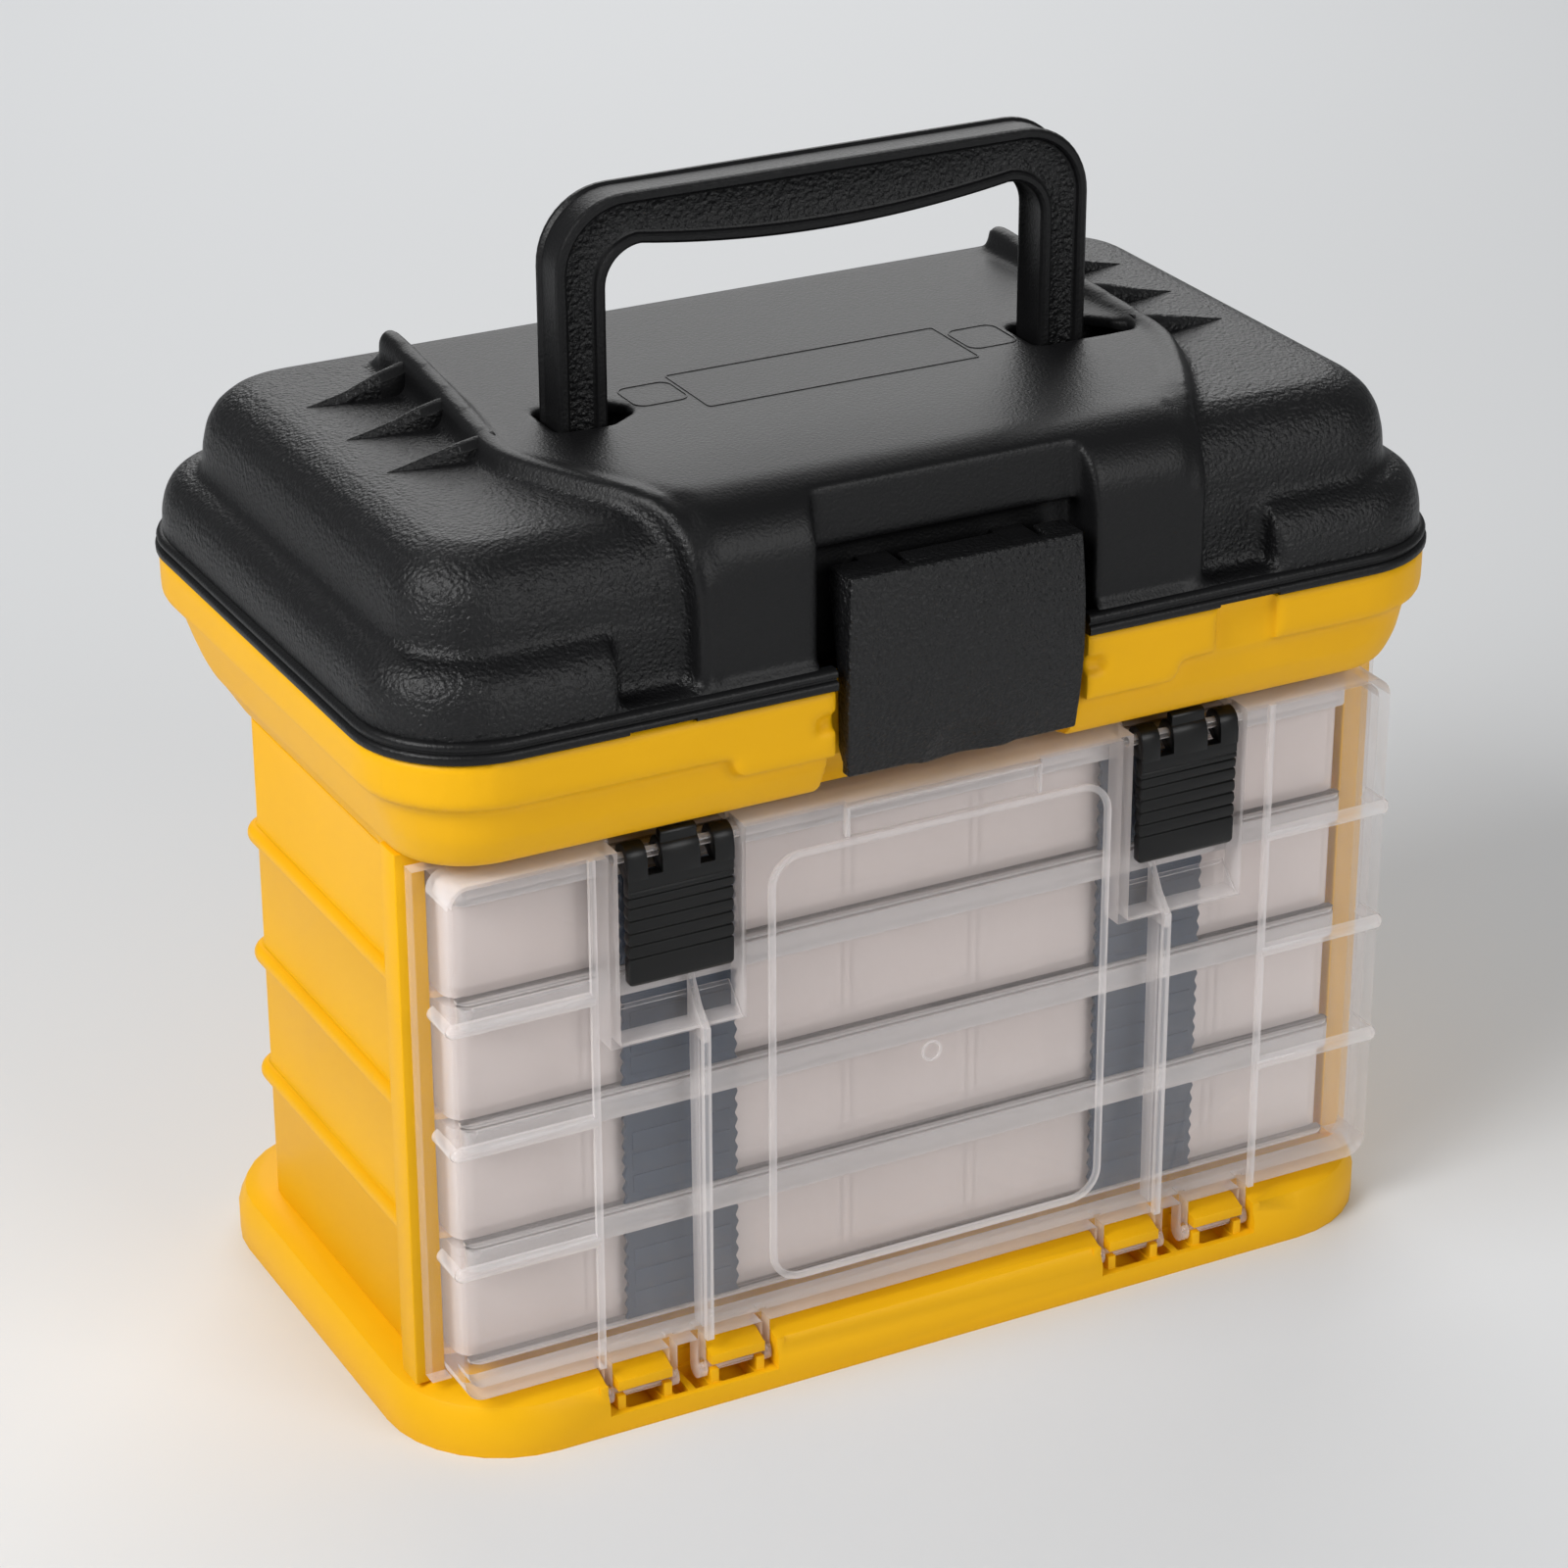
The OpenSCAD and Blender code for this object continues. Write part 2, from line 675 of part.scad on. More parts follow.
module front_door() {
    frame_w = 1.6;
    frame_end = 9.4; // from the door's ends to the frame
    frame_r = 8;
    placed(clear) difference() {
        union() {
            door_pan();
            both() for (z = door_rib_z()) door_rib(z);
            both() span([ridge_hw - 0.8, door_y0 - 1.1, door_z0], [ridge_hw + 0.8, door_y0 + e, door_z1]);
            upright(door_y0 - 0.9, door_y0 + e) difference() {
                plan(frame_hw, door_z0 + frame_end, door_z1 - frame_end, frame_r);
                plan(frame_hw - frame_w, door_z0 + frame_end + frame_w, door_z1 - frame_end - frame_w,
                    frame_r - frame_w);
            }
            span([-step_hw, door_y0 - 1.1, door_z1 - 8.7], [step_hw, door_y0 + e, door_z1]);
            both() span([fin_x - fin_t / 2, door_y0 - 1.6, door_z0],
                [fin_x + fin_t / 2, door_y0 + e, recess_z0]);
            both() recess_walls();
            both() door_lugs();
        }
        both() recess_cut();
    }
    placed(clear) both() bar_x(door_hinge_x - recess_hw - 0.6, door_hinge_x + recess_hw + 0.6,
        latch_pin_y, latch_pin_z, latch_pin_r);
}

function door_rib_z() = [for (i = [2:tray_n]) tray_z(i) + tray_h + runner_t];

// Skin, side walls, top wall and the short bottom wall
module door_pan() {
    side_t = 1.8;
    lip_t = 4; // front to back, of the strip round the door's back edge
    difference() {
        upright(door_y0, door_y1 - lip_t + 0.4) plan(door_hw + side_t, door_z0, door_z1, 5);
        upright(door_y0 + door_skin, door_y1)
            plan(door_hw, door_z0 + door_skin, door_z1 - door_skin, 4);
        // the bottom wall stops short of the base's hinge tabs
        span([-door_hw, door_y0 + 8, door_z0 - over], [door_hw, door_y1 + over, door_z0 + 6]);
    }
    both() span([door_hw, door_y1 - lip_t, door_z0], [door_flange_hw, door_y1, door_z1]);
    span([-door_hw, door_y1 - lip_t, door_z1 - door_skin], [door_hw, door_y1, door_z1]);
}

// Half-round rib on the outer panel, wrapped round the door's end
module door_rib(z) {
    r = 1.9;
    y = door_y0 + 0.4;
    end_hw = door_hw + 1.4;
    difference() {
        union() {
            bar_x(ridge_hw, end_hw - 0.4, y, z, r);
            translate([end_hw, y, z]) rotate([-90, 0, 0]) cylinder(r = r, h = door_y1 - 6 - door_y0);
            translate([end_hw - 0.2, y, z]) sphere(r);
        }
        span([ridge_hw - over, door_y0 + door_skin - 0.2, z - 2 * r], [door_hw + 0.5, door_y1, z + 2 * r]);
    }
}

module recess_walls() {
    x0 = door_hinge_x - recess_hw;
    x1 = door_hinge_x + recess_hw;
    y1 = recess_y + recess_back_t;
    z0 = recess_z0 - recess_t;
    for (x = [x0 - recess_t, x1]) span([x, door_y0, z0], [x + recess_t, y1, door_z1]);
    span([x0, recess_y, z0], [x1, y1, door_z1]);
    span([x0, door_y0, z0], [x1, y1, recess_z0]);
}

// The latch's recess, open at the top, with a window behind the hook
module recess_cut() {
    x0 = door_hinge_x - recess_hw;
    window_z = door_z1 - 9;
    span([x0, door_y0 - over, recess_z0], [x0 + 2 * recess_hw, recess_y, door_z1 + over]);
    span([x0 + 1, recess_y - over, window_z], [x0 + 2 * recess_hw - 1, door_y1 + over, door_z1 + over]);
}

// Four lugs and two pins at each hinge
module door_lugs() {
    lug_r = 2.6;
    for (s = [-1, 1]) translate([door_hinge_x + s * lug_step, 0, 0]) {
        for (x = [-lug_w / 2 - lug_t, lug_w / 2]) {
            bar_x(x, x + lug_t, door_pin_y, door_pin_z, lug_r);
            span([x, door_y0, door_pin_z], [x + lug_t, door_pin_y + lug_r, door_z0 + 2.4]);
        }
        bar_x(-lug_w / 2 - e, lug_w / 2 + e, door_pin_y, door_pin_z, door_pin_r);
    }
}

// ---- Door latch: plate, three knuckles and the hook tab ----

module door_latch() {
    plate_t = 3;
    y0 = latch_pin_y - latch_knuckle_r - 0.4;
    z0 = latch_pin_z - latch_h + latch_knuckle_r;
    window_x = 6.4;
    window_w = 3.6;
    tab_hw = 4.6;
    tab_h = 5.4;
    groove_z0 = z0 + 7;
    groove_n = 6;
    groove_pitch = 3.1;
    groove_w = 0.5;
    placed(black) translate([door_hinge_x, 0, 0]) difference() {
        union() {
            span([-latch_w / 2, y0, z0], [latch_w / 2, y0 + plate_t, latch_pin_z - 2]);
            bar_x(-latch_w / 2, latch_w / 2, latch_pin_y, latch_pin_z, latch_knuckle_r);
            span([-tab_hw, latch_pin_y - 2.2, latch_pin_z],
                [tab_hw, latch_pin_y + 0.4, latch_pin_z + tab_h]);
        }
        for (x = [-window_x, window_x]) span([x - window_w / 2, y0 - over, latch_pin_z - 4],
            [x + window_w / 2, latch_pin_y + latch_knuckle_r + over, latch_pin_z + tab_h + over]);
        for (i = [0:groove_n - 1]) span([-latch_w, y0 - over, groove_z0 + i * groove_pitch],
            [latch_w, y0 + 0.4, groove_z0 + i * groove_pitch + groove_w]);
        bar_x(-latch_w, latch_w, latch_pin_y, latch_pin_z, latch_pin_r + pin_fit);
    }
}

module door_latch_left() { mirror([1, 0, 0]) door_latch(); }
module door_latch_right() { door_latch(); }

// ---- Trays ----

// Plan of a tray's long walls and of the grooves that hold its dividers
module tray_walls() {
    for (y = row_y) translate([e - tray_in_hw, y - tray_wall / 2]) square([2 * (tray_in_hw - e), tray_wall]);
    for (x = divider_x, s = [-1, 1], k = [0:2])
        for (y = [row_side(k, 0), row_side(k, 1) - groove_d])
            translate([x + s * groove_hw - (s < 0 ? groove_t : 0), y]) square([groove_t, groove_d]);
}

module tray(i) {
    z0 = tray_z(i);
    z1 = z0 + tray_h - tray_lid_t;
    step_z = z0 + 5; // small step on the front, under each latch
    placed(clear) difference() {
        union() {
            difference() {
                slab(tray_hw, tray_y0, tray_back, tray_r, z0, z1 - z0);
                slab(tray_in_hw, tray_y0 + tray_wall, tray_back - tray_wall, tray_r - tray_wall,
                    z0 + tray_wall, z1 - z0);
            }
            translate([0, 0, z0 + tray_wall - e])
                linear_extrude(tray_h - tray_lid_t - tray_wall - 1.5) tray_walls();
            both() for (s = [-1, 1]) tray_knuckle(s, z1);
            both() span([door_hinge_x - 9, tray_y0 - 1.1, step_z],
                [door_hinge_x + 9, tray_y0 + e, step_z + 1.5]);
        }
        both() tray_pin_bore(z1, tray_pin_r + pin_fit);
        both() tray_knuckle_space(tray_hinge_x, z1);
    }
}

// One of the tray's two knuckles beside the tray lid's, at each hinge
module tray_knuckle(s, z) {
    x = tray_hinge_x + s * (tray_knuckle_w + slip);
    bar_x(x - tray_knuckle_w / 2, x + tray_knuckle_w / 2, tray_pin_y, z, tray_knuckle_r);
    span([x - tray_knuckle_w / 2, tray_back - 0.6, z - 3], [x + tray_knuckle_w / 2, tray_pin_y, z - slip]);
}

module tray_pin_bore(z, r) {
    bar_x(tray_hinge_x - tray_pin_len / 2 - over, tray_hinge_x + tray_pin_len / 2 + over,
        tray_pin_y, z, r);
}

// Clear space round a tray hinge knuckle that is centred on x
module tray_knuckle_space(x, z) {
    bar_x(x - tray_knuckle_w / 2 - slip, x + tray_knuckle_w / 2 + slip,
        tray_pin_y, z, tray_knuckle_r + slip);
}

// Lid of a tray: a thin plate, its back knuckles and the pins that its latches turn on
module tray_lid(i) {
    z0 = tray_z(i) + tray_h - tray_lid_t;
    knuckle_x = [tray_hinge_x - tray_knuckle_w / 2, tray_hinge_x + tray_knuckle_w / 2];
    lug_t = 2;
    lug_x = latch_w / 2 + slip;
    panel_in = 6; // border round the thinner middle
    panel_down = 0.8;
    placed(clear) {
        difference() {
            union() {
                slab(tray_hw, tray_y0, tray_back, tray_r, z0, tray_lid_t);
                both() bar_x(knuckle_x[0], knuckle_x[1], tray_pin_y, z0, tray_knuckle_r);
                both() span([knuckle_x[0], tray_back - 1, z0 + slip],
                    [knuckle_x[1], tray_pin_y, z0 + tray_knuckle_r]);
                both() for (s = [-1, 1]) translate([door_hinge_x + s * (lug_x + lug_t / 2), 0, 0]) {
                    span([-lug_t / 2, tray_latch_y0 + 0.4, z0 - 0.6],
                        [lug_t / 2, tray_y0 - 0.2, z0 + tray_lid_t]);
                    span([-lug_t / 2, tray_y0 - 0.4, z0], [lug_t / 2, tray_y0 + 1, z0 + tray_lid_t]);
                }
            }
            slab(tray_hw - panel_in, tray_y0 + panel_in, tray_back - panel_in, 4,
                z0 + tray_lid_t - panel_down, tray_lid_t);
            both() tray_pin_bore(z0, tray_pin_r + pin_fit);
            both() for (s = [-1, 1])
                tray_knuckle_space(tray_hinge_x + s * (tray_knuckle_w + slip), z0);
            // room for the latches' knuckles
            both() span([door_hinge_x - lug_x, tray_latch_y0, z0 - over],
                [door_hinge_x + lug_x, tray_latch_pin_y + 1.9, z0 + tray_lid_t + over]);
        }
        both() bar_x(door_hinge_x - lug_x - e, door_hinge_x + lug_x + e,
            tray_latch_pin_y, z0 + tray_latch_pin_z, tray_pin_r);
    }
}

module tray_lid_pins(i) {
    placed(steel) both() bar_x(tray_hinge_x - tray_pin_len / 2, tray_hinge_x + tray_pin_len / 2,
        tray_pin_y, tray_z(i) + tray_h - tray_lid_t, tray_pin_r);
}

// The two latches on a tray's front
module tray_latches(i) {
    pin_z = tray_z(i) + tray_h - tray_lid_t + tray_latch_pin_z;
    plate_t = 1.7;
    knuckle_r = 1.5;
    placed(slate) both() translate([door_hinge_x, 0, 0]) difference() {
        union() {
            bar_x(-latch_w / 2, latch_w / 2, tray_latch_pin_y, pin_z, knuckle_r);
            span([-latch_w / 2, tray_latch_y0, tray_z(i) + 1.6],
                [latch_w / 2, tray_latch_y0 + plate_t, pin_z]);
        }
        bar_x(-latch_w, latch_w, tray_latch_pin_y, pin_z, tray_pin_r + pin_fit);
    }
}

// Loose dividers, in every second pair of grooves
module tray_dividers(i) {
    z0 = tray_z(i) + tray_wall;
    z1 = tray_z(i) + tray_h - tray_lid_t - 2;
    end_gap = 0.3;
    placed(clear) for (k = [0:2], j = [0:divider_n - 1]) if ((k + j + i) % 2 == 0)
        span([divider_x[j] - divider_t / 2, row_side(k, 0) + end_gap, z0],
            [divider_x[j] + divider_t / 2, row_side(k, 1) - end_gap, z1]);
}

base_plate();
body_shell();
top_bin();
lid();
lid_hinge_pins();
clasp();
clasp_pin();
handle();
front_door();
door_latch_left();
door_latch_right();
tray(1);  // tray_1
tray_lid(1);  // tray_lid_1
tray_lid_pins(1);  // tray_lid_pins_1
tray_latches(1);  // tray_latches_1
tray_dividers(1);  // tray_dividers_1
tray(2);  // tray_2
tray_lid(2);  // tray_lid_2
tray_lid_pins(2);  // tray_lid_pins_2
tray_latches(2);  // tray_latches_2
tray_dividers(2);  // tray_dividers_2
tray(3);  // tray_3
tray_lid(3);  // tray_lid_3
tray_lid_pins(3);  // tray_lid_pins_3
tray_latches(3);  // tray_latches_3
tray_dividers(3);  // tray_dividers_3
tray(4);  // tray_4
tray_lid(4);  // tray_lid_4
tray_lid_pins(4);  // tray_lid_pins_4
tray_latches(4);  // tray_latches_4
tray_dividers(4);  // tray_dividers_4
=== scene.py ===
# Tackle cabinet with a black lid and handle, a yellow body and a clear drop-down door.
# Shapes are written in millimetres, with y measured back from the front of the lid's rim.
import json
import math

import bmesh
import bpy
from mathutils import Matrix, Vector

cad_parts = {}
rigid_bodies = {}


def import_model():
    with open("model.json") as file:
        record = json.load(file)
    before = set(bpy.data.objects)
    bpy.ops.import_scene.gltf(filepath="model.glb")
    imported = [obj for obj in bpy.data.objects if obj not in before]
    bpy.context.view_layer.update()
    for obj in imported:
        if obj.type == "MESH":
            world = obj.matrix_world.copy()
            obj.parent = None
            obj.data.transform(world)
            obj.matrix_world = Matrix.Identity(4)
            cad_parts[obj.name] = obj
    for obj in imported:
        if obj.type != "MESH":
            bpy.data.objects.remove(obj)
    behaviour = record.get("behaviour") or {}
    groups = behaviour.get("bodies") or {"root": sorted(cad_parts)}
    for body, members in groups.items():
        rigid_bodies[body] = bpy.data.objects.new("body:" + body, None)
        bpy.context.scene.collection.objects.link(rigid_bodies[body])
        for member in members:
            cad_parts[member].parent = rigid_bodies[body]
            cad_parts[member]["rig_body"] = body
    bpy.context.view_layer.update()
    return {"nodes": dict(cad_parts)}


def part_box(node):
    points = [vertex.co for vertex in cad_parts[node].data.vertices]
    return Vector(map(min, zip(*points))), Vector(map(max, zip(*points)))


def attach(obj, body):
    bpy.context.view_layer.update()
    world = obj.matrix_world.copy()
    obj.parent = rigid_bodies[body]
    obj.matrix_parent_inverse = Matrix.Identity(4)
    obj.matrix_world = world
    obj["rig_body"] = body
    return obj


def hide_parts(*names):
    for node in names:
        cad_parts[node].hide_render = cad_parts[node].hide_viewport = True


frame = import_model()
mm = 0.001
mergeWithin = 1e-6
flatAngle = math.radians(1.5)
skinVoxel = 1.0
sharpBelow = 1e-4
mostOfEdge = 0.49
trayNumbers = range(1, 5)
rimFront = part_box("lid")[0].y / mm
print("frame loaded,", len(frame["nodes"]), "nodes")


def place(x, y, z):
    return Vector((x * mm, (y + rimFront) * mm, z * mm))


def newObject(name, verts, faces):
    mesh = bpy.data.meshes.new(name)
    mesh.from_pydata([place(*v) for v in verts], [], faces)
    mesh.validate()
    piece = bpy.data.objects.new(name, mesh)
    bpy.context.scene.collection.objects.link(piece)
    fixNormals(piece)
    return piece


def fixNormals(piece):
    work = bmesh.new()
    work.from_mesh(piece.data)
    bmesh.ops.remove_doubles(work, verts=work.verts, dist=mergeWithin)
    bmesh.ops.recalc_face_normals(work, faces=work.faces)
    work.to_mesh(piece.data)
    work.free()


def ringFaces(n, a, b):
    # the faces between rings a and b, of n points each
    return [(a * n + i, a * n + (i + 1) % n, b * n + (i + 1) % n, b * n + i) for i in range(n)]


def loft(name, rings):
    # rings of equal length, closed at both ends
    n, last = len(rings[0]), len(rings) - 1
    faces = [face for a in range(last) for face in ringFaces(n, a, a + 1)]
    faces.append(tuple(range(n))[::-1])
    faces.append(tuple(last * n + i for i in range(n)))
    return newObject(name, [p for ring in rings for p in ring], faces)


def hoop(name, rings):
    # rings of equal length that close on themselves, first to last
    n = len(rings[0])
    faces = [face for a in range(len(rings)) for face in ringFaces(n, a, (a + 1) % len(rings))]
    return newObject(name, [p for ring in rings for p in ring], faces)


def roundedPlan(halfWide, front, back, radius, steps=8):
    # a rectangle with rounded corners, seen from above
    points = []
    for cx, cy, start in ((halfWide - radius, front + radius, -90), (halfWide - radius, back - radius, 0),
                          (radius - halfWide, back - radius, 90), (radius - halfWide, front + radius, 180)):
        for i in range(steps + 1):
            a = math.radians(start + 90 * i / steps)
            points.append((cx + radius * math.cos(a), cy + radius * math.sin(a)))
    return points


def roundCorners(outline, radii, steps=6):
    # the outline with each corner turned into an arc of its own radius
    points = []
    for i, corner in enumerate(outline):
        r = radii[i] if isinstance(radii, (list, tuple)) else radii
        here = Vector(corner)
        before = Vector(outline[i - 1]) - here
        after = Vector(outline[(i + 1) % len(outline)]) - here
        half = before.angle(after) / 2
        run = min(r / math.tan(half), mostOfEdge * before.length, mostOfEdge * after.length)
        if run < sharpBelow:
            points.append(tuple(here))
            continue
        a, b = here + before.normalized() * run, here + after.normalized() * run
        centre = here + (before.normalized() + after.normalized()).normalized() * run / math.cos(half)
        u, v = a - centre, b - centre
        turn = u.angle_signed(v)
        for k in range(steps + 1):
            t = -turn * k / steps
            points.append((centre.x + u.x * math.cos(t) - u.y * math.sin(t),
                           centre.y + u.x * math.sin(t) + u.y * math.cos(t)))
    return points


def prism(name, outline, low, high, along="z"):
    # an outline pushed along one axis: (y, z) along x, (x, z) along y, (x, y) along z
    order = {"x": lambda p, d: (d, p[0], p[1]), "y": lambda p, d: (p[0], d, p[1]),
             "z": lambda p, d: (p[0], p[1], d)}[along]
    return loft(name, [[order(p, low) for p in outline], [order(p, high) for p in outline]])


def planStack(name, sections):
    # sections of (half width, front, back, corner radius, height), lowest first
    return loft(name, [[(x, y, s[4]) for x, y in roundedPlan(*s[:4])] for s in sections])


def shrunk(outline, by):
    # the outline moved inwards along its own normals
    n = len(outline)
    area = sum(outline[i - 1][0] * outline[i][1] - outline[i][0] * outline[i - 1][1] for i in range(n))
    side = 1 if area > 0 else -1
    points = []
    for i, here in enumerate(outline):
        run = Vector(outline[(i + 1) % n]) - Vector(outline[i - 1])
        run.normalize()
        points.append((here[0] - side * run.y * by, here[1] + side * run.x * by))
    return points


def smoothed(rows, steps=4):
    # rows of numbers with in-between rows on one smooth curve
    out = []
    for i in range(len(rows) - 1):
        a, b, c, d = (rows[max(0, min(len(rows) - 1, i + k))] for k in (-1, 0, 1, 2))
        for k in range(steps):
            t = k / steps
            out.append([0.5 * (2 * q + (r - p) * t + (2 * p - 5 * q + 4 * r - u) * t * t
                               + (3 * q - p - 3 * r + u) * t ** 3) for p, q, r, u in zip(a, b, c, d)])
    return out + [list(rows[-1])]


def band(name, stations, sides=20, power=2.6):
    # a rounded band along stations of (x, y, z, up x, up y, up z, half width, half height)
    rings = []
    for i, s in enumerate(stations):
        ahead, behind = stations[min(i + 1, len(stations) - 1)], stations[max(i - 1, 0)]
        run = (Vector(ahead[:3]) - Vector(behind[:3])).normalized()
        across = run.cross(Vector(s[3:6])).normalized()
        up = across.cross(run).normalized()
        ring = []
        for k in range(sides):
            a = 2 * math.pi * k / sides
            u = math.copysign(abs(math.cos(a)) ** (2 / power), math.cos(a)) * s[6]
            v = math.copysign(abs(math.sin(a)) ** (2 / power), math.sin(a)) * s[7]
            ring.append(tuple(Vector(s[:3]) + across * u + up * v))
        rings.append(ring)
    return loft(name, rings)


def block(name, low, high):
    (x0, y0, z0), (x1, y1, z1) = low, high
    return prism(name, [(x0, y0), (x1, y0), (x1, y1), (x0, y1)], z0, z1)


def circle(u, v, radius, steps=32):
    return [(u + radius * math.cos(2 * math.pi * i / steps),
             v + radius * math.sin(2 * math.pi * i / steps)) for i in range(steps)]


def rod(name, x0, x1, y, z, radius, steps=32):
    return prism(name, circle(y, z, radius, steps), x0, x1, "x")


def arc(u, v, radius, start, stop, step):
    # points from one angle up to, but not at, another, in degrees
    return [(u + radius * math.cos(math.radians(a)), v + radius * math.sin(math.radians(a)))
            for a in range(start, stop, step)]


def applied(piece):
    # the piece with its modifiers turned into plain mesh
    graph = bpy.context.evaluated_depsgraph_get()
    mesh = bpy.data.meshes.new_from_object(piece.evaluated_get(graph))
    piece.modifiers.clear()
    piece.data = mesh
    return piece


def joined(name, pieces):
    # several meshes in one object, with nothing merged
    work = bmesh.new()
    for piece in pieces:
        piece.data.transform(piece.matrix_world)
        work.from_mesh(piece.data)
    mesh = bpy.data.meshes.new(name)
    work.to_mesh(mesh)
    work.free()
    for piece in pieces:
        bpy.data.objects.remove(piece)
    whole = bpy.data.objects.new(name, mesh)
    bpy.context.scene.collection.objects.link(whole)
    return whole


def cutWith(piece, cutters):
    for cutter in cutters:
        cut = piece.modifiers.new("cut", "BOOLEAN")
        cut.operation = "DIFFERENCE"
        cut.solver = "MANIFOLD"
        cut.object = cutter
        applied(piece)
        bpy.data.objects.remove(cutter)
    return piece


def mirrored(piece):
    twin = piece.copy()
    twin.data = piece.data.copy()
    bpy.context.scene.collection.objects.link(twin)
    twin.data.transform(Matrix.Diagonal((-1, 1, 1, 1)))
    twin.data.flip_normals()
    return twin


def bothSides(pieces):
    return pieces + [mirrored(piece) for piece in pieces]


def moulded(piece, passes):
    # one skin over all that is joined, with every edge softened
    remesh = piece.modifiers.new("skin", "REMESH")
    remesh.mode = "VOXEL"
    remesh.voxel_size = skinVoxel * mm
    soft = piece.modifiers.new("soft", "SMOOTH")
    soft.factor = 0.5
    soft.iterations = passes
    return applied(piece)


def bevelled(piece, width, segments=2, angle=28):
    work = bmesh.new()
    work.from_mesh(piece.data)
    bmesh.ops.remove_doubles(work, verts=work.verts, dist=2 * mergeWithin)
    bmesh.ops.dissolve_limit(work, angle_limit=flatAngle, verts=work.verts, edges=work.edges)
    work.to_mesh(piece.data)
    work.free()
    bevel = piece.modifiers.new("edges", "BEVEL")
    bevel.width = width * mm
    bevel.segments = segments
    bevel.limit_method = "ANGLE"
    bevel.angle_limit = math.radians(angle)
    return applied(piece)


def finished(piece, body, look, node, angle=35):
    for face in piece.data.polygons:
        face.use_smooth = True
    piece.data.set_sharp_from_angle(angle=math.radians(angle))
    piece.data.materials.clear()
    piece.data.materials.append(finish[look])
    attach(piece, body)
    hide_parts(node)


def secondLook(piece, look, chosen):
    # another finish on the faces that are chosen
    piece.data.materials.append(finish[look])
    for face in piece.data.polygons:
        if chosen(face):
            face.material_index = 1


def depthOf(face):
    # how far a face's middle lies behind the front of the rim
    return face.center.y / mm - rimFront


def copyOfNode(node, name):
    piece = bpy.data.objects.new(name, frame["nodes"][node].data.copy())
    bpy.context.scene.collection.objects.link(piece)
    return piece


# Finishes

grainMix = {"fine": 0.7, "cells": 0.5, "slowScale": 45}
toneMix = {"patch": 12, "streaks": 0.3, "streakScale": 60, "stretch": (0.25, 1, 1)}
plasticIor = 1.49
roughSpread = 0.05
edgeBlend = 0.35


def nodeGroup(name, inputs, outputs):
    group = bpy.data.node_groups.new(name, "ShaderNodeTree")
    for label, value in inputs.items():
        group.interface.new_socket(label, in_out="INPUT", socket_type="NodeSocketFloat").default_value = value
    for label in outputs:
        group.interface.new_socket(label, in_out="OUTPUT", socket_type="NodeSocketFloat")
    return group, group.nodes.new("NodeGroupInput"), group.nodes.new("NodeGroupOutput")


def mathNode(tree, operation, a, b=None):
    node = tree.nodes.new("ShaderNodeMath")
    node.operation = operation
    for socket, value in zip(node.inputs, (a, b)):
        if value is None:
            continue
        if isinstance(value, (int, float)):
            socket.default_value = value
        else:
            tree.links.new(value, socket)
    return node.outputs[0]


def noiseAt(tree, where, scale, detail=2, roughness=0.5, stretch=None):
    if stretch:
        mapping = tree.nodes.new("ShaderNodeMapping")
        mapping.inputs["Scale"].default_value = stretch
        tree.links.new(where, mapping.inputs["Vector"])
        where = mapping.outputs[0]
    noise = tree.nodes.new("ShaderNodeTexNoise")
    noise.inputs["Detail"].default_value = detail
    noise.inputs["Roughness"].default_value = roughness
    tree.links.new(where, noise.inputs["Vector"])
    if isinstance(scale, (int, float)):
        noise.inputs["Scale"].default_value = scale
    else:
        tree.links.new(scale, noise.inputs["Scale"])
    return noise.outputs["Fac"]


def makeGrain():
    # moulded leather grain: small irregular cells over a slow unevenness of the mould
    group, start, end = nodeGroup("mouldGrain", {"Grain Size": 0.8, "Depth": 1, "Waviness": 0.3},
                                  ("Height", "Fleck"))
    where = group.nodes.new("ShaderNodeTexCoord").outputs["Object"]
    perMetre = mathNode(group, "DIVIDE", 1 / mm, start.outputs["Grain Size"])
    fine = noiseAt(group, where, perMetre, 3, 0.6)
    cells = group.nodes.new("ShaderNodeTexVoronoi")
    cells.feature = "SMOOTH_F1"
    group.links.new(where, cells.inputs["Vector"])
    group.links.new(perMetre, cells.inputs["Scale"])
    cellHeight = mathNode(group, "SUBTRACT", 1, cells.outputs["Distance"])
    grain = mathNode(group, "ADD", mathNode(group, "MULTIPLY", fine, grainMix["fine"]),
                     mathNode(group, "MULTIPLY", cellHeight, grainMix["cells"]))
    slow = noiseAt(group, where, grainMix["slowScale"], 1)
    height = mathNode(group, "ADD", mathNode(group, "MULTIPLY", grain, start.outputs["Depth"]),
                      mathNode(group, "MULTIPLY", slow, start.outputs["Waviness"]))
    group.links.new(height, end.inputs["Height"])
    group.links.new(fine, end.inputs["Fleck"])
    return group


def makeTone():
    # slow drift of the plastic's shade, with faint flow streaks
    group, start, end = nodeGroup("flowTone", {"Patch Scale": toneMix["patch"]}, ("Tone",))
    where = group.nodes.new("ShaderNodeTexCoord").outputs["Object"]
    patch = noiseAt(group, where, start.outputs["Patch Scale"], 3)
    streak = noiseAt(group, where, toneMix["streakScale"], 2, 0.5, toneMix["stretch"])
    drift = mathNode(group, "SUBTRACT", streak, 0.5)
    tone = mathNode(group, "ADD", patch, mathNode(group, "MULTIPLY", drift, toneMix["streaks"]))
    group.links.new(tone, end.inputs["Tone"])
    return group


grainGroup = makeGrain()
toneGroup = makeTone()


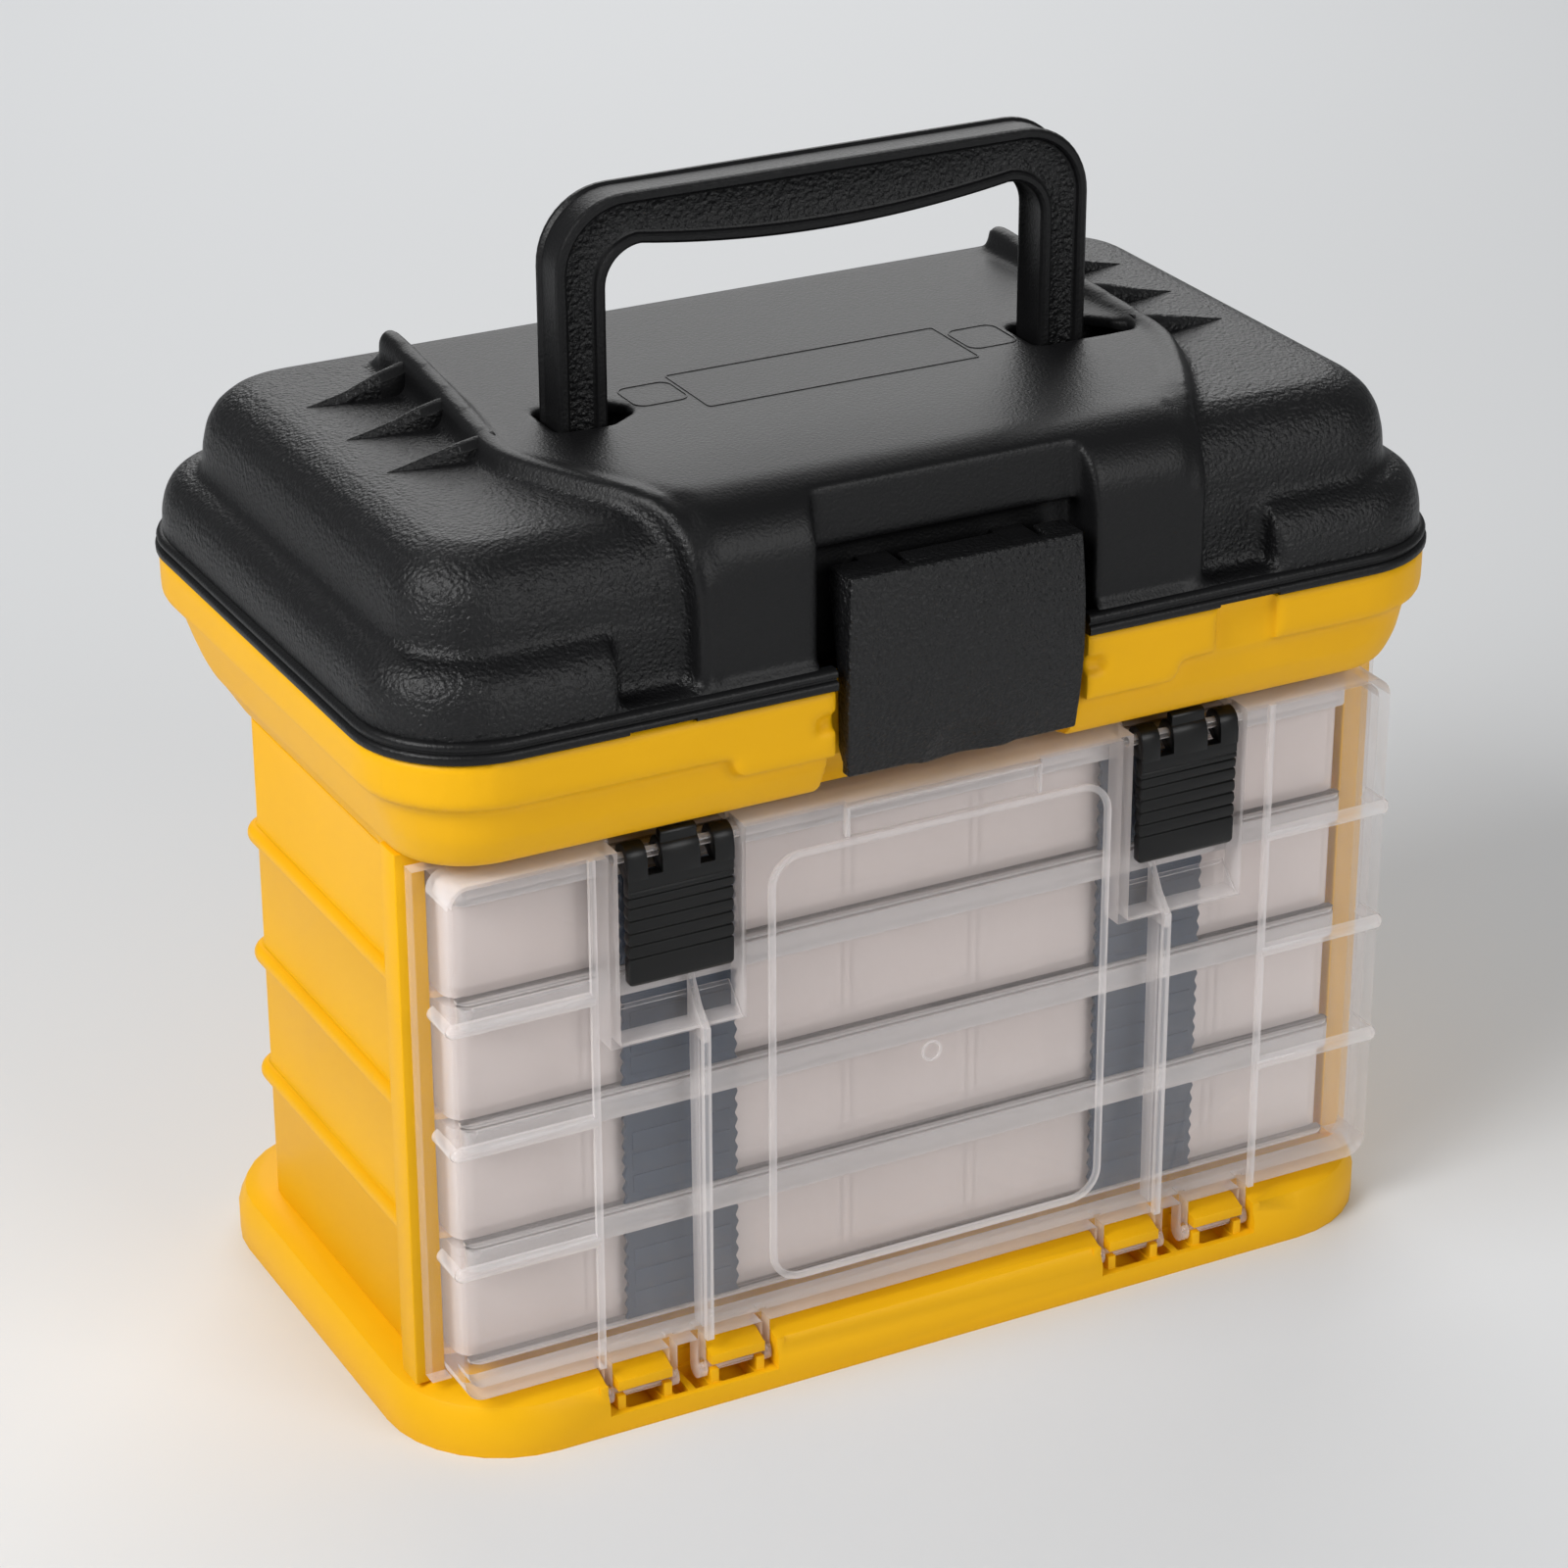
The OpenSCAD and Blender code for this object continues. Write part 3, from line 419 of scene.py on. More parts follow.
def plastic(name, look):
    material = bpy.data.materials.new(name)
    material.use_nodes = True
    tree = material.node_tree
    shader = tree.nodes["Principled BSDF"]
    grain = tree.nodes.new("ShaderNodeGroup")
    grain.node_tree = grainGroup
    grain.inputs["Grain Size"].default_value = look["grain"]
    grain.inputs["Waviness"].default_value = look.get("wave", 0.3)
    tone = tree.nodes.new("ShaderNodeGroup")
    tone.node_tree = toneGroup
    tone.inputs["Patch Scale"].default_value = look.get("patch", toneMix["patch"])
    colour = tree.nodes.new("ShaderNodeMix")
    colour.data_type = "RGBA"
    colour.inputs["A"].default_value = (*look["dark"], 1)
    colour.inputs["B"].default_value = (*look["light"], 1)
    tree.links.new(tone.outputs["Tone"], colour.inputs["Factor"])
    tree.links.new(colour.outputs["Result"], shader.inputs["Base Color"])
    rough = tree.nodes.new("ShaderNodeMapRange")
    rough.inputs["To Min"].default_value = look["rough"] - roughSpread
    rough.inputs["To Max"].default_value = look["rough"] + roughSpread
    tree.links.new(grain.outputs["Fleck"], rough.inputs["Value"])
    tree.links.new(rough.outputs["Result"], shader.inputs["Roughness"])
    bump = tree.nodes.new("ShaderNodeBump")
    bump.inputs["Strength"].default_value = look["bump"]
    bump.inputs["Distance"].default_value = look.get("deep", 0.1) * mm
    tree.links.new(grain.outputs["Height"], bump.inputs["Height"])
    tree.links.new(bump.outputs["Normal"], shader.inputs["Normal"])
    shader.inputs["IOR"].default_value = plasticIor
    shader.inputs["Metallic"].default_value = look.get("metal", 0)
    shader.inputs["Specular IOR Level"].default_value = look.get("sheen", 0.5)
    if "haze" in look:
        # clear plastic: how much of it is seen, face on and at a grazing angle
        edge = tree.nodes.new("ShaderNodeLayerWeight")
        edge.inputs["Blend"].default_value = edgeBlend
        seen = tree.nodes.new("ShaderNodeMapRange")
        seen.inputs["To Min"].default_value = look["haze"][0]
        seen.inputs["To Max"].default_value = look["haze"][1]
        tree.links.new(edge.outputs["Facing"], seen.inputs["Value"])
        tree.links.new(seen.outputs["Result"], shader.inputs["Alpha"])
    return material


# grain (its size) and deep (its depth) are in millimetres, and haze is for clear plastic; slot names a slot
# that nothing in this script reads, and it is left out of looks that finished() is never given
looks = {
    "yellow": {"slot": "yellow_plastic", "dark": (0.78, 0.395, 0.002), "light": (0.88, 0.465, 0.004),
               "rough": 0.44, "grain": 0.5, "bump": 0.16, "wave": 1.2, "patch": 9, "sheen": 0.18},
    "black": {"slot": "black_plastic", "dark": (0.003, 0.003, 0.0033), "light": (0.006, 0.006, 0.0065),
              "rough": 0.42, "grain": 0.7, "bump": 0.6, "deep": 0.2, "wave": 0.5, "sheen": 0.27},
    "leather": {"slot": "black_plastic", "dark": (0.003, 0.003, 0.0033), "light": (0.006, 0.006, 0.0066),
                "rough": 0.39, "grain": 0.95, "bump": 1.0, "deep": 0.5, "sheen": 0.34},
    "coarse": {"slot": "black_plastic", "dark": (0.003, 0.003, 0.0033), "light": (0.006, 0.006, 0.0066),
               "rough": 0.37, "grain": 1.05, "bump": 1.0, "deep": 0.85, "sheen": 0.36},
    "latchBlack": {"slot": "black_plastic", "dark": (0.003, 0.003, 0.003), "light": (0.005, 0.005, 0.005),
                   "rough": 0.34, "grain": 0.4, "bump": 0.2, "sheen": 0.3},
    "clear": {"slot": "clear_plastic", "dark": (0.84, 0.76, 0.74), "light": (0.92, 0.86, 0.84),
              "rough": 0.18, "grain": 0.8, "bump": 0.15, "haze": (0.0, 0.42), "sheen": 0.8},
    # a whiter, denser clear finish for rims, ribs and tray edges: a painted highlight
    "clearEdge": {"dark": (0.90, 0.84, 0.83), "light": (0.97, 0.93, 0.92), "rough": 0.16, "grain": 0.8,
                  "bump": 0.1, "haze": (0.24, 0.85), "sheen": 0.9},
    "tray": {"slot": "tray_plastic", "dark": (0.93, 0.80, 0.76), "light": (0.99, 0.90, 0.87),
             "rough": 0.2, "grain": 0.8, "bump": 0.1, "haze": (0.5, 0.93), "sheen": 0.8},
    "slate": {"slot": "latch_plastic", "dark": (0.003, 0.020, 0.048), "light": (0.006, 0.030, 0.066),
              "rough": 0.4, "grain": 0.5, "bump": 0.2},
    "steel": {"dark": (0.62, 0.62, 0.63), "light": (0.72, 0.72, 0.72), "rough": 0.28, "grain": 0.3,
              "bump": 0.1, "metal": 1.0},
}
finish = {name: plastic(name, look) for name, look in looks.items()}
print("finishes made")


# Floor, lights and camera

cameraView = {"place": (-0.4566, -0.8694, 0.5732), "azimuth": -27.65, "elevation": 25.11, "roll": -0.17,
              "lens": 103.63, "sensor": 36}
floorPlan = {"size": 30, "dark": (0.70, 0.71, 0.72), "light": (0.73, 0.74, 0.75), "rough": 0.8, "patch": 3}
worldPlan = {"colour": (0.86, 0.88, 0.9), "strength": 0.2}
lightPlan = {
    "keySoftbox": {"place": (-1.22, -0.3, 1.12), "size": 0.8, "watts": 23, "aim": (0, 0, 0.12)},
    "frontSoftbox": {"place": (0.5, -1.5, 0.8), "size": 0.9, "watts": 10.5, "aim": (0, 0, 0.1)},
    "backSoftbox": {"place": (0.55, 1.25, 1.0), "size": 1.3, "watts": 11.5, "aim": (0, 0, 0.2)},
}


def makeFloor():
    bpy.ops.mesh.primitive_plane_add(size=floorPlan["size"])
    floor = bpy.context.object
    floor.name = "floor"
    paint = bpy.data.materials.new("palePaper")
    paint.use_nodes = True
    tree = paint.node_tree
    shader = tree.nodes["Principled BSDF"]
    shader.inputs["Roughness"].default_value = floorPlan["rough"]
    noise = tree.nodes.new("ShaderNodeTexNoise")
    noise.inputs["Scale"].default_value = floorPlan["patch"]
    tint = tree.nodes.new("ShaderNodeMix")
    tint.data_type = "RGBA"
    tint.inputs["A"].default_value = (*floorPlan["dark"], 1)
    tint.inputs["B"].default_value = (*floorPlan["light"], 1)
    tree.links.new(noise.outputs["Fac"], tint.inputs["Factor"])
    tree.links.new(tint.outputs["Result"], shader.inputs["Base Color"])
    floor.data.materials.append(paint)


def makeLights():
    world = bpy.data.worlds.new("studio")
    bpy.context.scene.world = world
    world.use_nodes = True
    background = world.node_tree.nodes["Background"]
    background.inputs["Color"].default_value = (*worldPlan["colour"], 1)
    background.inputs["Strength"].default_value = worldPlan["strength"]
    for name, plan in lightPlan.items():
        lamp = bpy.data.lights.new(name, "AREA")
        lamp.shape = "SQUARE"
        lamp.size = plan["size"]
        lamp.energy = plan["watts"]
        holder = bpy.data.objects.new(name, lamp)
        holder.location = plan["place"]
        shine = Vector(plan["aim"]) - Vector(plan["place"])
        holder.rotation_euler = shine.to_track_quat("-Z", "Y").to_euler()
        bpy.context.scene.collection.objects.link(holder)


def makeCamera():
    turn, tilt = math.radians(cameraView["azimuth"]), math.radians(cameraView["elevation"])
    back = Vector((math.sin(turn) * math.cos(tilt), -math.cos(turn) * math.cos(tilt), math.sin(tilt)))
    right = Vector((0, 0, 1)).cross(back).normalized()
    up = back.cross(right)
    lens = bpy.data.cameras.new("camera")
    lens.lens = cameraView["lens"]
    lens.sensor_width = cameraView["sensor"]
    lens.clip_start = 0.05
    camera = bpy.data.objects.new("camera", lens)
    axes = Matrix((right, up, back)).transposed().to_4x4()
    roll = Matrix.Rotation(math.radians(cameraView["roll"]), 4, "Z")
    camera.matrix_world = Matrix.Translation(cameraView["place"]) @ axes @ roll
    bpy.context.scene.collection.objects.link(camera)
    bpy.context.scene.camera = camera


makeFloor()
makeLights()
makeCamera()
bpy.context.scene.view_settings.view_transform = "Standard"
print("stage set")


# The lid: one soft moulded skin, with its crisp small parts joined on

lid = {"halfWide": 135, "depth": 165, "corner": 27, "stepFoot": 178, "cavityFoot": 176, "domeHalf": 125.5,
       "domeFront": 9, "domeBack": 153, "saddleTop": 222.5, "saddleHalf": 84, "saddleBack": 134,
       "prongHalf": 64, "prongFront": 3.6, "prongRound": 16, "pocketHalf": 34.3, "gapHalf": 82.3,
       "wall": 2.2, "softPasses": 6}
smoothRules = {"saddleLow": 219.5, "saddleHalf": 88, "lipHigh": 182}
# the pins that the lid and the clasp turn on
lidPin = {"x": 70, "y": 166.4, "z": 179}
claspPin = {"y": 6.6, "z": 198.4, "knuckle": 3.2}
# (inset, height)
stepRows = ((1.6, lid["stepFoot"]), (2.0, 187), (2.8, 190.8), (4.4, 193.8), (6.8, 195.9), (9.6, 196.9),
            (12, 197))
saddleRows = ((0, 204), (0, 219.6), (0.8, 221.3), (2.2, 222.2), (4.2, lid["saddleTop"]))
lipRows = ((0.4, 177.0), (0.05, 177.4), (0, 178.6), (0.35, 179.15), (0.95, 179.35), (1.0, 179.8),
           (0.5, 180.15), (0.35, 180.8), (0.7, 181.5), (1.5, 181.9), (3.4, 181.9), (3.4, 177.0))
# (inset at the sides, in front, at the back, corner radius, height)
domeRows = ((0, 0, 0, 20, 184), (1, 1.2, 1.2, 19.5, 204), (2.2, 2.6, 2.4, 18.5, 209.4),
            (4.4, 4.8, 4.4, 17, 213.2), (7.8, 8.2, 7.6, 15, 216.3), (12, 12, 11.5, 12, 218),
            (17, 17, 16, 9, 218.5))


# Each of the lid's forms is made twice: as it is, and moved inwards by the wall for the cavity.

def stepForm(inward):
    rows = []
    for inset, z in stepRows:
        if z > lid["stepFoot"]:
            z -= inward
        elif inward:
            z = lid["cavityFoot"]
        rows.append((lid["halfWide"] - inset - inward, inset + inward, lid["depth"] - inset - inward,
                     lid["corner"] - inset - inward, z))
    step = planStack("stepForm", rows)
    g = lid["gapHalf"] + inward
    gap = roundCorners([(-99, -4), (99, -4), (99, 1.2), (g, 1.2), (g, 9.4 + inward), (-g, 9.4 + inward),
                        (-g, 1.2), (-99, 1.2)], [0, 0, 0, 4.5, 1, 1, 4.5, 0])
    return cutWith(step, [prism("gap", gap, 182.4 - inward, 201)])


def domeForm(inward):
    rows = []
    for side, front, back, r, z in domeRows:
        if z > domeRows[0][-1]:
            z -= inward
        rows.append((lid["domeHalf"] - side - inward, lid["domeFront"] + front + inward,
                     lid["domeBack"] - back - inward, r - inward, z))
    return planStack("domeForm", rows)


def saddleForm(inward):
    half, back = lid["saddleHalf"] - inward, lid["saddleBack"] - inward
    outline = roundCorners([(-62 + inward, 16 + inward), (62 - inward, 16 + inward), (67.5 - inward, 24),
                            (half, 57 + inward), (half, back), (-half, back), (-half, 57 + inward),
                            (-67.5 + inward, 24)], [4, 4, 10, 8, 5, 5, 8, 10])
    return loft("saddleForm", [[(x, y, z - inward) for x, y in shrunk(outline, inset)]
                               for inset, z in saddleRows])


def prongForm(inward):
    front, top, half = lid["prongFront"] + inward, lid["saddleTop"] - inward, lid["prongHalf"] - inward
    low = 179 if inward == 0 else 175
    r = lid["prongRound"]
    ends = ((0, 5), (1.1, 2.5), (3, 0.9), (6, 0))
    rings = []
    for x, i in [(out - half, i) for out, i in ends] + [(half - out, i) for out, i in reversed(ends)]:
        roll = [(x, front + r + (i - r) * math.cos(math.radians(a)),
                 top - r + (r - i) * math.sin(math.radians(a))) for a in range(0, 91, 9)]
        rings.append([(x, 45, low), (x, front + i, low)] + roll + [(x, 45, top - i)])
    return loft("prongForm", rings)


def ridgeForm():
    # the bar along the saddle's side and down over the front
    rows = [(80.7, 129.2, 222.5, 0, 0, 1, 1.0, 2.4), (80.7, 128.4, 222.5, 0, 0, 1, 2.3, 4.8),
            (80.7, 126.4, 222.6, 0, 0, 1, 3.0, 5.9), (81.0, 116, 222.2, 0, 0, 1, 3.1, 5.7),
            (82.0, 92, 220.9, 0, 0, 1, 3.1, 5.2), (83.6, 70, 219.6, 0, 0, 1, 3.1, 4.6),
            (84.0, 60, 219, 0, 0, 1, 3.1, 4.4), (82.2, 52, 218.8, 0, 0, 1, 3.1, 4.5),
            (76.4, 39, 218.8, 0, 0, 1, 3.1, 4.5), (69.6, 26, 218.8, 0, 0, 1, 3.1, 4.5),
            (65.2, 18.5, 217.6, 0, -0.25, 0.97, 3.1, 4.5), (62.6, 12.4, 213.6, 0, -0.68, 0.73, 3.1, 4.5),
            (61.4, 8.2, 207, 0, -0.97, 0.24, 3.1, 4.6), (61.0, 7.4, 199, 0, -1, 0, 3.1, 4.5),
            (61.0, 7.4, 181, 0, -1, 0, 3.1, 4.5)]
    return band("ridgeForm", smoothed(rows))


def lidForms(inward):
    return [form(inward) for form in (stepForm, domeForm, saddleForm, prongForm)]


def legSlot():
    # the hole that a leg of the handle goes through
    return block("slot", (55, 63.2, 200), (67.6, 75.8, 226))


def claspPocket():
    # the hollow behind the clasp, and the sloping recess over it
    p = lid["pocketHalf"]
    rings = [[(-p - out, -6, z), (p + out, -6, z), (p - inset, back, z), (inset - p, back, z)]
             for out, inset, back, z in ((2.2, 0.6, 9.6, 204), (3.2, 1, 12.2, 230))]
    hollow = prism("pocket", [(-p - 1, -6), (p + 1, -6), (p, 13.6), (-p, 13.6)], 170, 206.5)
    return [hollow, loft("recess", rings)]


def handleWells():
    left = roundCorners([(-68.2, 62.6), (-55, 62.2), (-47.8, 67), (-47.8, 71), (-54, 77.8), (-68.2, 77.4)],
                        [0.8, 3, 1.8, 1.8, 3, 0.8])
    right = roundCorners([(53.3, 62.4), (72, 61.6), (80.8, 62.4), (80.8, 66), (71, 77.4), (53.3, 77)],
                         [0.8, 6, 1.6, 1.6, 4, 0.8])
    return [prism("well", well, 214, 226) for well in (left, right)]


def lidCrown():
    cavity = lidForms(lid["wall"])
    for part in cavity:
        cutWith(part, [block("pocketWall", (-36.5, -5, 170), (36.5, 15.8, 230))])
    crown = joined("lidCrown", lidForms(0) + bothSides([ridgeForm()]))
    moulded(crown, 2)
    cutWith(crown, claspPocket() + handleWells())
    moulded(crown, lid["softPasses"])
    return cutWith(crown, cavity + bothSides([legSlot()]))


def gusset(y, rise):
    # a thin blade that tapers to a point, lying against the ridge
    rings = []
    for x, top, t in ((82, 223.8 + rise, 2.2), (90, 222.5 + rise * 0.6, 1.7), (98, 220.7, 1.1),
                      (104, 219.3, 0.55), (107.5, 218.6, 0.15)):
        side = [(1.5 * t, 216), (1.3 * t, top - 1.6), (0.55 * t, top - 0.3)]
        rings.append([(x, y - w, z) for w, z in side] + [(x, y, top)]
                     + [(x, y + w, z) for w, z in reversed(side)])
    return loft("gusset", rings)


def lidLip():
    # the lid's lower lip, with a thin bead line above it
    w, d, r = lid["halfWide"], lid["depth"], lid["corner"]
    rings = [[(x, y, z) for x, y in roundedPlan(w - i, i, d - i, r - i, 14)] for i, z in lipRows]
    thin = bothSides([block("thin", (66, -3, 170), (82, 1.6, 177.9))])
    return cutWith(hoop("lidLip", rings), [block("notch", (-31.8, -3, 170), (31.8, 7.6, 190))] + thin)


def lidKnuckle():
    x, y, z, r, half = lidPin["x"], lidPin["y"], lidPin["z"], 3.6, 5.5
    web = [(160, 177.4), (y, 177.4), (y, z + r), (163, z + r)]
    return [rod("knuckle", x - half, x + half, y, z, r), prism("knuckleWeb", web, x - half, x + half, "x")]


def claspLug():
    # holds the clasp's pin, with a thin blade under it
    y, z, r, back = claspPin["y"], claspPin["z"], 3.1, 14.6
    return [rod("lug", 13, 21, y, z, r),
            prism("lugWeb", [(y, z - r), (back, z - r), (back, z + r), (y, z + r)], 13, 21, "x"),
            prism("lugBlade", [(y + 1, z - 12), (back, z - 12), (back, z), (y + 1, z)], 15.8, 18.2, "x")]


def wellShell():
    # the thin box round a handle well, under the saddle
    shell = block("wellShell", (45.6, 58.8, 213.3), (83, 80, 220.4))
    return cutWith(shell, [block("inner", (47.8, 61, 215.5), (80.8, 77.8, 226)), legSlot()])


def lidSmallParts():
    gussets = [gusset(67, 0), gusset(89.6, 1.2), gusset(113, 2.2)]
    return bothSides(gussets + lidKnuckle() + claspLug() + [wellShell()])


def panelLines():
    # the faint moulded outline of the plain panel on the saddle
    lines = []
    for x0, x1, y0, y1, r in ((-32, 38, 61, 84, 1.2), (-46.2, -32.6, 68, 81, 3), (38.6, 51.6, 66, 80, 3)):
        outer = roundCorners([(x0, y0), (x1, y0), (x1, y1), (x0, y1)], r)
        rings = [[(x, y, z) for x, y in shrunk(outer, i)]
                 for i, z in ((0, 222.2), (0.05, 222.66), (0.4, 222.66), (0.45, 222.2))]
        lines.append(hoop("panelLine", rings))
    return lines


def isSmooth(face):
    # the leather grain is on the dome and the terraces, and not on the saddle, the prong or the lip
    s, x, z = smoothRules, abs(face.center.x) / mm, face.center.z / mm
    return x < lid["prongHalf"] or (z > s["saddleLow"] and x < s["saddleHalf"]) or z < s["lipHigh"]


def makeLid():
    small = joined("lidSmall", [bevelled(part, 0.35) for part in lidSmallParts()])
    whole = joined("lidShell", [lidCrown(), lidLip(), small] + panelLines())
    finished(whole, "lid", "leather", "lid", 40)
    secondLook(whole, "black", isSmooth)


makeLid()
print("lid made")


# The handle: a loft with bead rims round a recessed panel, front and back

handle = {"half": 67.3, "leg": 12, "middle": 69.5, "deep": 6, "top": 274, "outer": 17, "inner": 9,
          "underEnds": 261.9, "underMiddle": 258.2, "foot": 205.3, "rim": 2.5, "panelDepth": 1.5, "steps": 12}


def handleStations():
    # pairs of points on the inner and the outer edge, from the left foot to the right
    h = handle
    steps = h["steps"]
    inX, outX = h["half"] - h["leg"], h["half"]
    left = [((-inX, z), (-outX, z)) for z in (h["foot"], 215, 230, 242, 249)]
    for k in range(steps + 1):
        a = math.radians(180 - 90 * k / steps)
        cIn = (-inX + h["inner"], h["underEnds"] - h["inner"])
        cOut = (-outX + h["outer"], h["top"] - h["outer"])
        left.append(((cIn[0] + h["inner"] * math.cos(a), cIn[1] + h["inner"] * math.sin(a)),
                     (cOut[0] + h["outer"] * math.cos(a), cOut[1] + h["outer"] * math.sin(a))))
    reach = inX - h["inner"]
    for k in range(1, steps + 1):
        x = -reach * (1 - k / steps)
        belly = 1 - (x / reach) ** 2
        under = h["underEnds"] + (h["underMiddle"] - h["underEnds"]) * belly
        left.append(((x, under), (x * (outX - h["outer"]) / reach, h["top"])))
    right = [((-a[0], a[1]), (-b[0], b[1])) for a, b in reversed(left[:-1])]
    return left + right


def handleRing(inner, outer):
    h = handle
    wide = (Vector(outer) - Vector(inner)).length
    r, deep, sunk = h["rim"], h["deep"], h["deep"] - h["panelDepth"]
    # across is measured from the inner edge, and depth from the middle plane
    half = [(0.55, 0), (0.5, 3.4), (0.06, 4.2), (0, 4.9), (0.3, 5.6), (0.9, deep), (r - 0.5, deep),
            (r, 5.6), (r + 0.25, sunk + 0.25), (r + 0.7, sunk), (wide / 2, sunk), (wide - r - 0.7, sunk),
            (wide - r - 0.25, sunk + 0.25), (wide - r, 5.6), (wide - r + 0.5, deep), (wide - 0.9, deep),
            (wide - 0.3, 5.6), (wide, 4.9), (wide - 0.06, 4.2), (wide - 0.7, 3.4), (wide - 0.7, 0)]
    loop = half + [(u, -v) for u, v in reversed(half[1:-1])]
    points = []
    for u, v in loop:
        p = Vector(inner).lerp(Vector(outer), u / wide)
        points.append((p.x, h["middle"] - v, p.y))
    return points


def isPanel(face):
    deep = abs(depthOf(face) - handle["middle"])
    sunk = handle["deep"] - handle["panelDepth"]
    return abs(deep - sunk) < 0.2 and abs(face.normal.y) > 0.9


def makeHandle():
    body = loft("handleGrip", [handleRing(a, b) for a, b in handleStations()])
    feet = bothSides([bevelled(block("foot", (51.9, 63.5, handle["foot"]), (70.7, 75.5, 212.3)), 0.8)])
    whole = joined("handleGrip", [body] + feet)
    finished(whole, "handle", "black", "handle", 32)
    secondLook(whole, "coarse", isPanel)


makeHandle()
print("handle made")


# The clasp: a bowed plate with a thumb scoop over its lower edge

clasp = {"half": 29.5, "low": 154.3, "high": 202.6, "thick": 3, "front": -1.198, "bowRadius": 190,
         "bowAt": 0.6, "waist": 0.8, "scoopHalf": 10.5, "scoopHigh": 9, "scoopDeep": 1.9, "lipHalf": 14,
         "lipDrop": 1.0, "columns": 72, "rows": 56}


def claspFront(x, z):
    c = clasp
    middle = c["low"] + c["bowAt"] * (c["high"] - c["low"])
    y = c["front"] + (z - middle) ** 2 / (2 * c["bowRadius"])
    away = math.hypot(x / c["scoopHalf"], (z - c["low"] - 1) / c["scoopHigh"])
    if away < 1:
        y += c["scoopDeep"] * (1 - away ** 2) ** 1.3
    return y


def claspSheet():
    # a grid over the front, a second one behind it, and a rim of faces between
    c = clasp
    columns, rows = c["columns"], c["rows"]
    verts = []
    for back in (0, 1):
        for j in range(rows + 1):
            for i in range(columns + 1):
                u, v = i / columns, j / rows
                x = (2 * u - 1) * (c["half"] - 0.5 + c["waist"] * math.sin(math.pi * v))
                bulge = max(0, 1 - (x / c["lipHalf"]) ** 2)
                low = c["low"] + c["lipDrop"] * (1 - bulge ** 1.5 * (3 - 2 * bulge))
                z = low + v * (c["high"] - low)
                verts.append((x, claspFront(x, z) + c["thick"] * back, z))
    step, count = columns + 1, (columns + 1) * (rows + 1)
    faces = []
    for j in range(rows):
        for i in range(columns):
            a = j * step + i
            faces.append((a, a + 1, a + step + 1, a + step))
            faces.append((count + a, count + a + step, count + a + step + 1, count + a + 1))
    loop = list(range(step)) + [j * step + columns for j in range(1, rows + 1)]
    loop += [rows * step + i for i in range(columns - 1, -1, -1)]
    loop += [j * step for j in range(rows - 1, 0, -1)]
    for k, a in enumerate(loop):
        b = loop[(k + 1) % len(loop)]
        faces.append((a, a + count, b + count, b))
    return newObject("claspPlate", verts, faces)


def claspArm(x0, x1, foot, web=()):
    # a knuckle round the pin, with a web behind the plate
    outline = [(0.9, foot), (3.2, foot), *web]
    outline += arc(claspPin["y"], claspPin["z"], claspPin["knuckle"], -50, 91, 14)
    outline += [(1.2, claspPin["z"] + 3.6)]
    return prism("claspArm", outline, x0, x1, "x")


def claspTop(x, half):
    # a plate over the knuckles
    return block("claspTop", (x - half, 0.6, 201.6), (x + half, 9.3, 202.5))


def makeClasp():
    plate = bevelled(claspSheet(), 0.55, 3, 50)
    foot = 158.4
    parts = bothSides([claspArm(26.6, 29.35, foot, [(4.9, foot + 3), (5.3, 178)]), claspArm(5, 12, 191.4)])
    parts += [claspTop(0, 12.5)] + bothSides([claspTop(25.5, 3.9)])
    parts.append(block("claspBar", (-20.5, 1, 159.6), (20.5, 3.7, 163.4)))
    whole = joined("claspPlate", [plate] + [bevelled(part, 0.3) for part in parts])
    finished(whole, "clasp", "coarse", "clasp", 40)


makeClasp()
print("clasp made")


# The yellow bin under the lid: a moulded shell with a stepped band round its top

binShape = {"notchHalf": 31.8, "tallFrom": 30, "tallTo": 56.5, "tallLow": 160.6, "stepZ": 166,
            "softPasses": 4}


def binStack(name, rows):
    # rows of (inset at the sides, in front, at the back, height)
    sections = [(lid["halfWide"] - side, front, lid["depth"] - back, max(lid["corner"] - side, 2), z)
                for side, front, back, z in rows]
    return planStack(name, sections)


def tallBand():
    # the deeper part of the band beside the notch, and the step up from it
    b = binShape
    x0, x1, low, foot = b["tallFrom"], b["tallTo"], b["tallLow"], b["stepZ"]
    rings = []
    for y, i in ((0.7, 0.8), (1.5, 0), (9, 0)):
        outline = roundCorners([(x0, low + i), (x1 - i, low + i), (x1 - i, foot - i), (x1 + 8, foot - i),
                                (x1 + 8, 176), (x0, 176)], [0.5, 3, 2, 2, 0.5, 0.5])
        rings.append([(x, y, z) for x, z in outline])
    return loft("tall", rings)


def binOutside():
    flare = binStack("flare", [(10.4, 34, 21, 147.4), (9.6, 13, 20, 148), (8.9, 10.4, 17, 148.8),
                               (8.3, 8.6, 14.6, 150.2), (7.5, 7.2, 12, 152.6), (6.4, 5.4, 9, 156.5),
                               (3.6, 3.6, 3.6, 166.5), (2.4, 3.4, 2.4, 176.4)])
    top = binStack("topBand", [(2.2, 2.2, 2.2, 165.4), (1.2, 1.2, 1.2, 166.1), (0.7, 0.7, 0.7, 167.4),
                               (0.6, 0.6, 0.6, 177)])
    foot = planStack("foot", [(121.5, 34.4, 129, 6, 141), (125.4, 34.4, 145, 14, 148.4)])
    return [flare, top, foot] + bothSides([tallBand()])


